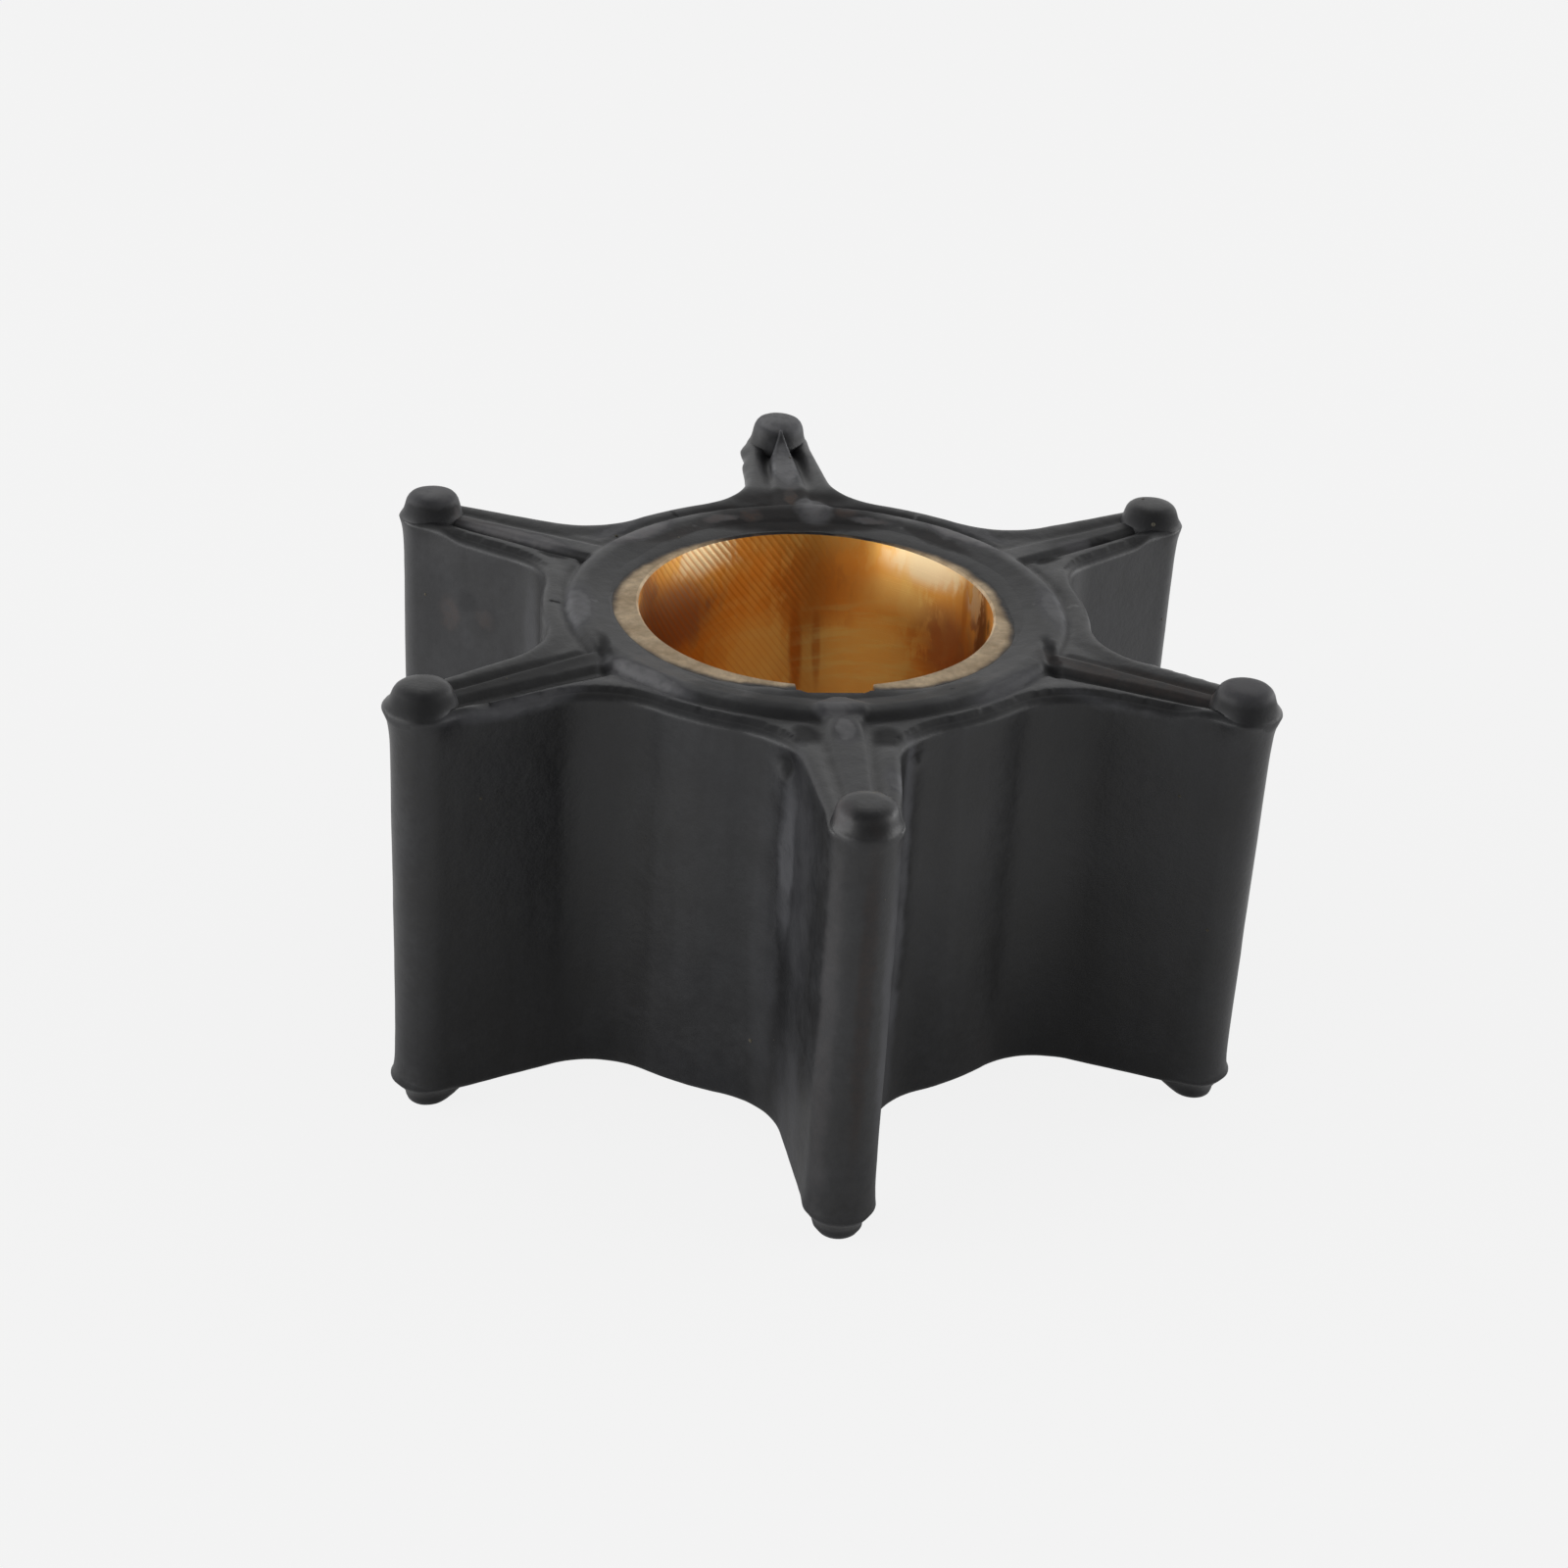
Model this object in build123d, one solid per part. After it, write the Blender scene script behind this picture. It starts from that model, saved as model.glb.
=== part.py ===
"""Rubber impeller of a boat engine's cooling-water pump.

Six flexible vanes and their hub are one rubber moulding, bonded round a brass insert. The insert's
bore takes the drive shaft, and its keyway takes the drive key. Both ends are alike, so the impeller
can be fitted either way up. The bore runs along Z, the middle of its length is at Z = 0, and the
keyway faces -Y, in line with one vane.
"""
import os
from math import sqrt

from build123d import *

# Rubber moulding in plan, in millimetres
vane_count = 6
tip_diameter = 50.8
hub_diameter = 29.4
vane_root_width = 5.5
vane_tip_width = 3.5
root_fillet = 4.6

# Rubber moulding from end to end
body_height = 22.3
edge_bevel = 0.25

# Groove in each end, between a bead along the outline and the ridge and rim inside it
bead_width = 0.8
groove_depth = 0.35

# Flat ridge along the middle of each vane's end edge
ridge_root_width = 2.3
ridge_tip_width = 1.3
ridge_fillet = 0.7

# Rim round the insert, a little above the ridges, which falls away to the groove
rim_diameter = 26.0
rim_flat_width = 0.8
rim_rise = 0.12
rim_fall = 0.22

# Round nub at each vane tip, on which the impeller runs against the pump's end plates
nub_base_diameter = 3.0
nub_top_diameter = 2.7
nub_rise = 1.02
nub_bevel = 0.35
nub_inset = 0.05

# Brass insert
bore_diameter = 19.0
insert_wall = 1.4
insert_length = 22.0
bore_chamfer = 0.3
keyway_width = 4.0
keyway_depth = 0.9

# Worked out from the sizes above
vane_pitch = 360 / vane_count
first_vane_angle = -90
hub_radius = hub_diameter / 2
rim_radius = rim_diameter / 2
insert_radius = bore_diameter / 2 + insert_wall
end_z = body_height / 2
groove_z = end_z - groove_depth
rim_z = end_z + rim_rise


def around_axis(piece):
    """Copies of a piece made along +X, one on each vane's line."""
    return [Rot(0, 0, first_vane_angle + index * vane_pitch) * piece for index in range(vane_count)]


def vane_plan(core_radius, root_width, tip_width, reach):
    """Tapered vane along +X, from its chord on a round core to its rounded tip."""
    chord_x = sqrt(core_radius**2 - (root_width / 2) ** 2)
    root = Line((chord_x, -root_width / 2), (chord_x, root_width / 2))
    tip = Pos(reach - tip_width / 2, 0) * CenterArc((0, 0), tip_width / 2, 0, 360)
    return make_hull(root.edges() + tip.edges())


def star_plan(core_radius, root_width, tip_width, reach, corner_fillet):
    """Round core with its vanes, and a fillet in each corner between core and vane."""
    star = Circle(core_radius) + around_axis(vane_plan(core_radius, root_width, tip_width, reach))
    corners = [v for v in star.vertices() if abs(Vector(v.X, v.Y).length - core_radius) < 1e-4]
    return fillet(corners, corner_fillet)


def vane_star():
    """Hub and vanes at their full height, with the outline bevelled at both ends."""
    plan = star_plan(hub_radius, vane_root_width, vane_tip_width, tip_diameter / 2, root_fillet)
    star = extrude(plan, end_z, both=True)
    star = chamfer(star.faces().filter_by(Axis.Z).edges(), edge_bevel)
    groove = Pos(0, 0, groove_z) * extrude(offset(plan, -bead_width) - ridge_plan(), groove_depth)
    return star - groove - mirror(groove, Plane.XY)


def ridge_plan():
    """Plan of the rim and of the ridge on each vane, which ends under the vane's nub."""
    reach = tip_diameter / 2 - vane_tip_width / 2
    return star_plan(rim_radius, ridge_root_width, ridge_tip_width, reach, ridge_fillet)


def end_rim():
    """Rim round the insert: a narrow flat, then a slope that runs out into the ridges."""
    section = Polyline(
        (0, groove_z),
        (0, rim_z),
        (insert_radius + rim_flat_width, rim_z),
        (rim_radius, rim_z - rim_fall),
        (rim_radius, groove_z),
        close=True,
    )
    return revolve(Plane.XZ * make_face(section), Axis.Z)


def tip_nub():
    """Slightly tapered nub at the tip of the vane along +X, bevelled at its top."""
    foot_depth = groove_depth + edge_bevel
    foot = Cylinder(nub_base_diameter / 2, foot_depth, align=(Align.CENTER, Align.CENTER, Align.MAX))
    nub = Cone(
        nub_base_diameter / 2,
        nub_top_diameter / 2,
        nub_rise,
        align=(Align.CENTER, Align.CENTER, Align.MIN),
    )
    nub = chamfer(nub.faces().sort_by(Axis.Z)[-1].edges(), nub_bevel)
    centre_x = tip_diameter / 2 - nub_inset - nub_base_diameter / 2
    return Pos(centre_x, 0, end_z) * (foot + nub)


def rubber_body():
    """The whole moulding, with the seat that the insert fills."""
    relief = end_rim() + around_axis(tip_nub())
    body = vane_star() + relief + mirror(relief, Plane.XY)
    return body - Cylinder(insert_radius, 2 * rim_z)


def brass_insert():
    """Sleeve with chamfered bore and a keyway along its whole length."""
    sleeve = Cylinder(insert_radius, insert_length) - Cylinder(bore_diameter / 2, insert_length)
    bore_edges = sleeve.edges().filter_by(GeomType.CIRCLE).group_by(SortBy.RADIUS)[0]
    sleeve = chamfer(bore_edges, bore_chamfer)
    keyway_reach = bore_diameter / 2 + keyway_depth
    keyway = Box(keyway_reach, keyway_width, insert_length, align=(Align.MIN, Align.CENTER, Align.CENTER))
    return sleeve - Rot(0, 0, first_vane_angle) * keyway


if __name__ == "__main__":
    os.makedirs("parts", exist_ok=True)
    pieces = {"rubber_body": rubber_body(), "brass_insert": brass_insert()}
    for name, piece in pieces.items():
        export_step(piece, f"parts/{name}.step")
        box = piece.bounding_box()
        print(name, len(piece.solids()), round(piece.volume, 1), box.size)
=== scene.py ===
import math

import bmesh
import bpy
import numpy as np
from mathutils import Matrix, Vector
from mathutils.geometry import delaunay_2d_cdt


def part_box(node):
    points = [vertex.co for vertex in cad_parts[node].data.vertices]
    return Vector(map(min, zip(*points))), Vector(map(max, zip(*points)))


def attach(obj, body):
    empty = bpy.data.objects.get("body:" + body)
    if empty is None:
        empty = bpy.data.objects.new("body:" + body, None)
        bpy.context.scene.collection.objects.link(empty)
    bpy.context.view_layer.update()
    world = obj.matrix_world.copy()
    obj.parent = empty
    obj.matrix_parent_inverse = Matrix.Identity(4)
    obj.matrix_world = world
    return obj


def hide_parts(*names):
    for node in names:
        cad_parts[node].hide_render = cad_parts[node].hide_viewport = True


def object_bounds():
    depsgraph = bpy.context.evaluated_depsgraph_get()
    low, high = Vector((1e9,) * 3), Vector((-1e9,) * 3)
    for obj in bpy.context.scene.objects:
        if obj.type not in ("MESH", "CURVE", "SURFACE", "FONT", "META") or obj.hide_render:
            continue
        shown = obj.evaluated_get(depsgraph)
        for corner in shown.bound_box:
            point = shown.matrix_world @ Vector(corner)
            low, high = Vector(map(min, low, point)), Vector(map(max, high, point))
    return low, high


bl_info = {
    "name": "Pump impeller",
    "version": (1, 0, 0),
    "blender": (4, 5, 0),
    "location": "View3D > Sidebar > Impeller",
    "description": "Dresses the impeller with moulded rubber, machined brass and dust, and sets the studio",
    "category": "Object",
}

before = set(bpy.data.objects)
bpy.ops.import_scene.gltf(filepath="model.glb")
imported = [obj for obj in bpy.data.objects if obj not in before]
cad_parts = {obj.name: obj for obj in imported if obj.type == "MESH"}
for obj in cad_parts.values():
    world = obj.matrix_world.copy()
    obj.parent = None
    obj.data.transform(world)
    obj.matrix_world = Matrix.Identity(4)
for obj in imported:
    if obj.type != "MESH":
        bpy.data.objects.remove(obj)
CAD_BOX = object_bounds()
BODY = "root"
MM = 0.001

# Distance of the tips' centres from the axis, and heights of the upper and lower moulding lips, in mm
TIP_CENTRE = 23.65
LIP_LEVELS = (10.95, 10.65)

# Vanes by their direction in degrees, and how far the moulding lip stands out round each upper tip, in mm
LIP_REACH = {-90: 0.18, -30: 0.38, 30: 0.26, 90: 0.12, 150: 0.26, 210: 0.42}

# Each end of a vane: the ridge's half width, then the width and depth of the channel on its clockwise side
# and on the other side, all in mm, and the share of the depth that is lost towards the hub
PLAIN_END = (0.75, 0.60, 0.32, 0.60, 0.32, 0.3)
UPPER_ENDS = {
    -90: (0.80, 0.60, 0.09, 0.60, 0.13, 0.3),
    -30: (0.62, 0.60, 0.22, 0.50, 0.08, 0.0),
    30: (0.66, 0.45, 0.26, 0.50, 0.05, 0.5),
    90: (0.82, 0.60, 0.28, 0.60, 0.32, 0.9),
    150: (0.64, 0.50, 0.05, 0.42, 0.36, 0.0),
    210: (0.66, 0.55, 0.18, 0.80, 0.20, 0.2),
}

# Nubs: how far their axis lies inside the tip, their rise above the end, how much wider their foot is on the
# hub's side (a share, above and below), and their profiles as radius and rise, in mm
NUB_REACH = 1.62
NUB_RISE = 1.02
NUB_SIDES = 44
UPPER_FOOT, LOWER_FOOT = 0.10, 0.75
UPPER_NUB = (
    (1.62, -0.9), (1.64, -0.25), (1.60, -0.06), (1.56, 0.10), (1.53, 0.28), (1.50, 0.46), (1.45, 0.63),
    (1.36, 0.78), (1.22, 0.90), (1.00, 0.98), (0.70, 1.02), (0.35, 1.03), (0.002, 1.03),
)
LOWER_NUB = (
    (1.50, -1.2), (1.70, -0.50), (1.70, -0.20), (1.64, 0.05), (1.55, 0.25), (1.42, 0.44), (1.26, 0.61),
    (1.06, 0.77), (0.82, 0.90), (0.55, 0.98), (0.27, 1.01), (0.002, 1.02),
)

# How much taller some upper nubs are, by their vanes' direction, and all the lower ones, in mm
NUB_EXTRA = {-90: 0.0, -30: 0.12, 30: 0.0, 90: 0.30, 150: 0.18, 210: 0.0}
LOWER_EXTRA = 0.22

# Hollows in the walls beside the front vane: centre, half sizes and depth in mm
HOLLOWS = (
    ((-2.95, -15.8, 9.7), (1.1, 1.1, 0.9), 0.35),
    ((-2.6, -16.8, 8.3), (0.9, 0.9, 1.3), 0.22),
    ((3.6, -15.0, 9.7), (1.0, 1.0, 0.6), 0.18),
)

# The flash over the rim at the front vane: places out along the vane, and its half width there, in mm
FLASH_PLACES = (10.9, 11.4, 12.2, 13.0, 13.7, 15.5)
FLASH_HALVES = (0.2, 0.5, 1.25, 1.2, 0.7, 0.75)

# Lumps of flash on the back vane's edge: place out along the vane, half width and height in mm
LUMPS = ((22.5, 1.1, 0.40), (20.0, 0.9, 0.20))

# Marks on the upper end and the walls: centre, half sizes and turn about Z in mm and degrees, how much they
# darken with painted shade (below 0) or lighten (above 0) the rubber, as bleaching or painted highlight, and
# how brown they are
MARKS = (
    # Bleached flash over the rim at the front vane, painted highlights on its ridge, both edges and nub with
    # a little brown, and painted shade on either side of the ridge's root
    ((-0.10, -12.7, 11.2), (1.35, 1.0, 0.6), 0, 1.3, 0.1),
    ((-0.05, -14.8, 11.1), (0.80, 1.7, 0.6), 0, 1.55, 0.1),
    ((-0.10, -18.8, 11.1), (0.9, 2.8, 0.5), 0, 0.25, 0.0),
    ((1.85, -19.9, 11.0), (0.55, 1.6, 0.7), 4, 1.2, 0.0),
    ((-1.2, -24.3, 11.8), (0.65, 1.0, 0.8), 0, 0.8, 0.3),
    ((1.4, -24.0, 11.8), (0.5, 1.0, 0.8), 0, 0.4, 0.0),
    ((-2.5, -17.2, 10.9), (0.40, 1.7, 0.5), -8, 0.3, 0.0),
    ((-2.0, -15.0, 11.0), (0.9, 1.3, 0.6), 0, -0.6, 0.0),
    ((2.0, -15.2, 11.0), (0.9, 1.3, 0.6), 0, -0.6, 0.0),
    # Painted shade in the hollows under the edges beside the front vane and in the dark bands by them;
    # lighter strips beside them, partly bleached rubber and partly painted light
    ((-2.95, -15.8, 9.6), (0.8, 0.8, 0.9), 0, -0.8, 0.0),
    ((-2.60, -16.7, 8.2), (0.6, 0.6, 1.2), 0, -0.4, 0.0),
    ((-2.75, -16.4, 4.6), (0.8, 1.2, 5.4), 0, 1.1, 0.0),
    ((-3.3, -15.4, 1.5), (0.35, 0.5, 2.6), 0, -0.8, 0.0),
    ((-2.35, -18.4, 4.5), (1.0, 3.4, 7.5), 0, 0.42, 0.0),
    ((-2.1, -18.8, -8.5), (1.2, 3.2, 6.0), 0, 0.45, 0.0),
    ((-3.5, -15.1, 0.0), (1.4, 1.2, 13.0), 0, 0.32, 0.0),
    ((3.20, -15.3, 1.0), (0.60, 1.2, 13.0), 0, 1.1, 0.0),
    ((2.2, -21.5, -8.0), (0.8, 3.0, 6.0), 0, 0.6, 0.0),
    ((-6.4, -13.4, -1.0), (6.0, 2.4, 16.0), 0, 0.13, 0.0),
    ((3.60, -15.0, 9.6), (0.8, 0.6, 0.6), 0, -0.7, 0.0),
    # Painted highlights on the edges of the front vane's tip, and painted shade with a brown tint in the
    # middle between them
    ((-1.25, -24.5, 0.0), (0.60, 0.9, 14.0), 0, 0.30, 0.1),
    ((1.50, -24.4, 2.0), (0.50, 0.9, 10.0), 0, 0.85, 0.0),
    ((2.15, -21.0, 7.5), (0.50, 2.8, 4.2), 0, 0.45, 0.0),
    ((0.30, -25.3, 2.0), (0.55, 0.6, 11.0), 0, -0.30, 0.25),
    # Painted shade on the rim in front and behind, broken by the flash, by a bleached patch and by brown
    # stains
    ((-3.2, -12.0, 11.0), (2.7, 2.3, 0.8), -14, -0.52, 0.0),
    ((3.2, -12.0, 11.0), (2.7, 2.3, 0.8), 14, -0.38, 0.0),
    ((-5.9, -10.4, 11.0), (2.4, 1.1, 0.8), -30, -0.35, 0.0),
    ((5.9, -10.4, 11.0), (2.4, 1.1, 0.8), 30, -0.35, 0.0),
    ((0.0, 14.4, 11.0), (4.2, 1.9, 0.8), 0, -0.70, 0.1),
    ((0.0, 12.2, 11.1), (6.2, 2.6, 0.8), 0, -0.68, 0.1),
    ((0.0, 10.8, 11.0), (6.6, 1.3, 0.8), 0, -0.85, 0.1),
    ((-2.6, 11.8, 11.1), (0.8, 0.8, 0.6), 0, 0.30, 1.0),
    ((2.9, 12.1, 11.1), (0.9, 0.6, 0.6), 0, 0.25, 0.8),
    ((0.0, -10.7, 11.0), (4.4, 1.0, 0.6), 0, -0.60, 0.0),
    ((7.6, 8.6, 11.1), (3.6, 0.6, 0.8), -48, -0.45, 0.1),
    ((-7.0, 9.2, 11.1), (3.0, 0.6, 0.8), 38, -0.35, 0.2),
    ((1.1, 12.7, 11.1), (1.2, 2.0, 0.8), 0, 1.45, 0.0),
    ((-0.05, 14.6, 11.0), (0.40, 1.5, 0.8), 0, 0.25, 1.0),
    # Painted shade in the seams where the ridges of the near side vanes meet the rim, and in grooves by the
    # back vanes' ridges
    ((-11.5, -6.4, 11.0), (0.50, 2.4, 1.0), 0, -0.65, 0.0),
    ((11.7, -6.4, 11.0), (0.50, 2.4, 1.0), 0, -0.65, 0.0),
    ((-13.9, 6.3, 11.0), (1.1, 0.35, 0.8), -30, -0.6, 0.0),
    ((13.6, 6.3, 11.0), (0.9, 0.5, 0.8), 30, -0.8, 0.0),
    ((17.2, 9.0, 11.0), (1.4, 0.4, 0.8), 30, -0.7, 0.0),
    # Side vanes' ridges darkened with painted shade and made matt; painted highlights along the front side
    # vanes' near edges, on the back vanes' ridges and on three nub tops
    ((-16.0, -9.0, 11.1), (6.6, 1.1, 0.8), 30, -0.52, 0.0),
    ((16.0, -9.0, 11.1), (6.6, 1.2, 0.8), -30, -0.45, 0.4),
    ((17.3, 10.0, 11.1), (5.2, 1.5, 0.8), 30, -0.25, 0.0),
    ((-15.9, -11.6, 11.0), (5.0, 0.7, 0.8), 31, 1.15, 0.0),
    ((15.2, -11.9, 11.0), (4.6, 0.7, 0.8), -31, 1.15, 0.0),
    ((0.0, 19.2, 11.3), (1.0, 3.9, 1.1), 0, 1.8, 0.0),
    ((0.0, 23.5, 12.4), (1.8, 1.8, 1.2), 0, 1.65, 0.0),
    ((-20.5, 11.8, 12.2), (1.7, 1.7, 0.8), 0, 1.4, 0.1),
    ((20.6, -12.0, 12.2), (1.7, 1.7, 0.8), 0, 1.15, 0.1),
    ((-17.6, 10.0, 11.2), (4.6, 0.5, 0.8), -30, 0.5, 0.3),
    # Painted highlights on the rim's crest and the foot beside it, and along the near edges of the back
    # vanes' ridges, some with brown stains
    ((-12.7, -0.8, 11.1), (1.0, 3.4, 0.8), 0, 1.5, 0.0),
    ((12.7, -0.6, 11.1), (0.9, 3.4, 0.8), 0, 1.35, 0.0),
    ((-9.5, -9.1, 11.1), (3.6, 0.95, 0.8), -48, 1.7, 0.1),
    ((8.8, -9.8, 11.1), (3.2, 0.8, 0.8), 42, 1.2, 0.0),
    ((-8.9, 9.1, 11.2), (3.0, 0.9, 0.8), 44, 2.0, 0.35),
    ((9.2, 8.9, 11.2), (3.4, 0.9, 0.8), -45, 2.0, 0.3),
    ((-4.4, 11.2, 11.1), (1.2, 0.4, 0.6), 18, 1.3, 0.7),
    ((4.2, 11.1, 11.1), (1.4, 0.4, 0.6), -18, 1.2, 0.5),
    ((-10.1, 10.1, 11.0), (2.6, 0.7, 0.8), 45, 1.3, 0.0),
    ((10.1, 10.1, 11.0), (2.6, 0.7, 0.8), -45, 1.3, 0.0),
    ((-16.0, 8.8, 11.1), (4.6, 0.8, 0.7), -30, 1.55, 0.25),
    ((15.6, 8.3, 11.1), (1.2, 0.7, 0.7), 20, 1.0, 0.1),
    # Dent and scratches in the back left vane's flank, with painted shade in the dent
    ((-19.7, 9.0, 6.2), (0.9, 0.7, 1.3), 0, 0.45, 0.4),
    ((-18.6, 8.4, 4.9), (0.9, 0.7, 0.8), 0, 0.35, 0.0),
    ((-17.6, 7.7, 6.4), (0.9, 0.7, 0.7), 0, 0.40, 0.3),
    ((-16.7, 6.9, 4.2), (0.7, 0.6, 1.6), 0, 0.25, 0.0),
    ((-15.2, 5.2, 6.0), (0.8, 1.0, 4.5), 0, 0.5, 0.0),
    ((15.0, 5.4, 6.0), (0.8, 1.0, 4.5), 0, 0.4, 0.0),
    ((-18.6, 8.3, 7.2), (0.9, 0.9, 1.0), 0, -0.45, 0.0),
)

# Marks on the wall of the bore, painting highlights, shade and reflections on it: place along the wall to the
# left of its back and height, half sizes and turn in mm and degrees, and which of the wall's tones they take,
# how strongly
BORE_MARKS = (
    ((-9.9, 6.2), (2.8, 2.6), 0, "brown_colour", 0.7),
    ((8.2, 7.2), (3.8, 2.8), 0, "brown_colour", 0.95),
    ((-13.2, 8.6), (1.2, 4.0), 0, "brown_colour", 0.9),
    ((11.6, 8.4), (2.4, 4.0), 0, "brown_colour", 0.95),
    ((1.9, 3.4), (2.8, 3.0), 0, "gold_colour", 0.7),
    ((-4.2, 3.4), (4.2, 3.2), 0, "gold_colour", 0.8),
    ((-0.9, 7.8), (2.4, 3.4), 0, "tarnish_and_reflection_colour", 0.6),
    ((-0.1, 4.0), (0.45, 3.8), -3, "tarnish_and_reflection_colour", 1.0),
    ((-1.3, 4.0), (0.30, 2.8), -3, "tarnish_and_reflection_colour", 0.7),
    ((-6.2, 7.6), (2.8, 2.0), 0, "gold_colour", 0.6),
    ((-5.2, 4.6), (2.6, 2.0), 0, "gold_colour", 1.0),
    ((-13.9, 8.2), (1.1, 2.8), 0, "keyway_and_shade_colour", 0.8),
    ((-7.9, 10.5), (3.3, 1.5), 0, "bore_highlight_colour", 0.95),
    ((-12.3, 10.4), (0.9, 1.7), 0, "bore_highlight_colour", 0.95),
    ((-11.1, 9.4), (0.35, 2.2), 0, "tarnish_and_reflection_colour", 0.5),
    ((5.6, 10.4), (2.6, 1.4), -6, "bore_highlight_colour", 0.95),
)

# Where fine bright lines lie on the bore's wall: place and half sizes as above, and how strong they are
GLINTS = (
    ((-4.2, 4.4), (4.6, 3.4), 0.6),
    ((3.4, 5.6), (3.0, 2.4), 0.15),
)

# Slope of those lines along the wall to the left, in degrees
GLINT_SLOPE = -11

# The chatter's wave in the bore: radians of it for each radian round the axis and each millimetre of height
CHATTER = (138.0, -11.2)

# Inner radius in mm of the rubber film on the insert's ends, every 30 degrees from -180, the radius that
# counts as 1 on its curve, and its rise above the end face at shares of its width from outside
FILM_EDGE = (11.0, 11.1, 10.65, 9.9, 10.95, 11.0, 10.25, 10.2, 9.9, 9.85, 10.0, 10.45)
FILM_SCALE = 20.0
FILM_RISE = ((0.0, 0.07), (0.4, 0.05), (0.8, 0.03), (1.0, -0.02))

# Colour of the painted shade on the rubber, in its hollows and under the shade marks
SHADE_TONE = (0.003, 0.003, 0.0032, 1.0)


# Shader and geometry node helpers

def feed(tree, sockets, inputs):
    """Fills sockets, by name or number, with a value or from the socket that feeds them."""
    for key, value in dict(inputs).items():
        if isinstance(value, bpy.types.NodeSocket):
            tree.links.new(value, sockets[key])
        else:
            sockets[key].default_value = value


def node(tree, kind, inputs=(), **settings):
    made = tree.nodes.new(kind)
    for name, value in settings.items():
        setattr(made, name, value)
    feed(tree, made.inputs, inputs)
    return made


def math_node(tree, operation, *values, clamp=False):
    inputs = dict(enumerate(values))
    return node(tree, "ShaderNodeMath", inputs, operation=operation, use_clamp=clamp).outputs[0]


def times(tree, first, *others):
    for other in others:
        first = math_node(tree, "MULTIPLY", first, other)
    return first


def vector_node(tree, operation, *values):
    return node(tree, "ShaderNodeVectorMath", dict(enumerate(values)), operation=operation).outputs[0]


def scaled(tree, vector, factor):
    return node(tree, "ShaderNodeVectorMath", {0: vector, 3: factor}, operation="SCALE").outputs[0]


def length_of(tree, vector):
    return node(tree, "ShaderNodeVectorMath", {0: vector}, operation="LENGTH").outputs["Value"]


def mix_colour(tree, factor, first, second):
    return node(tree, "ShaderNodeMix", {0: factor, 6: first, 7: second}, data_type="RGBA").outputs[2]


def mix_value(tree, factor, first, second):
    return node(tree, "ShaderNodeMix", {0: factor, 2: first, 3: second}, data_type="FLOAT").outputs[0]


def tint_in_turn(tree, colour, layers):
    """The colour under layers of (mask, share, tone)."""
    for mask, share, tone in layers:
        colour = mix_colour(tree, times(tree, mask, share), colour, tone)
    return colour


def spread(tree, value, low, high, to_low=0.0, to_high=1.0, smooth=True):
    """Stretches a value from low..high to to_low..to_high, held at both ends."""
    kind = "SMOOTHSTEP" if smooth else "LINEAR"
    inputs = {"Value": value, "From Min": low, "From Max": high, "To Min": to_low, "To Max": to_high}
    return node(tree, "ShaderNodeMapRange", inputs, interpolation_type=kind).outputs[0]


def place(tree):
    """The point on the piece, in millimetres."""
    return vector_node(tree, "MULTIPLY", node(tree, "ShaderNodeTexCoord").outputs["Object"], (1 / MM,) * 3)


def new_tree(kind, name, inputs, outputs):
    """A node group with sockets given as inputs {name: (kind, default)} and outputs {name: kind}."""
    tree = bpy.data.node_groups.new(name, kind)
    for label, (holds, default) in inputs.items():
        socket = tree.interface.new_socket(label, in_out="INPUT", socket_type="NodeSocket" + holds)
        if default is not None:
            socket.default_value = default
    for label, holds in outputs.items():
        tree.interface.new_socket(label, in_out="OUTPUT", socket_type="NodeSocket" + holds)
    return tree, tree.nodes.new("NodeGroupInput").outputs, tree.nodes.new("NodeGroupOutput").inputs


def new_geometry_tree(name, inputs):
    inputs = {"Geometry": ("Geometry", None), **inputs}
    return new_tree("GeometryNodeTree", name, inputs, {"Geometry": "Geometry"})


def mottle_group():
    """Soft uneven patches of one size, between 0 and 1."""
    name = "Mottle"
    if name in bpy.data.node_groups:
        return bpy.data.node_groups[name]
    inputs = {
        "Point": ("Vector", None),
        "Size": ("Float", 4.0),
        "Seed": ("Float", 0.0),
        "Contrast": ("Float", 0.5),
    }
    tree, given, result = new_tree("ShaderNodeTree", name, inputs, {"Patches": "Float"})
    shifted = vector_node(tree, "ADD", given["Point"], (1 / 7, 1 / 11, 1 / 13))
    scale = math_node(tree, "DIVIDE", 1.0, given["Size"])
    noise = node(
        tree,
        "ShaderNodeTexNoise",
        {"Vector": shifted, "W": given["Seed"], "Scale": scale, "Detail": 4.0, "Roughness": 0.55},
        noise_dimensions="4D",
    )
    low = times(tree, given["Contrast"], 0.5)
    high = math_node(tree, "SUBTRACT", 1.0, low)
    tree.links.new(spread(tree, noise.outputs[0], low, high), result["Patches"])
    return tree


def patches(tree, point, size, seed, contrast):
    inputs = {"Point": point, "Size": size, "Seed": seed, "Contrast": contrast}
    return node(tree, "ShaderNodeGroup", inputs, node_tree=mottle_group()).outputs[0]


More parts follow.
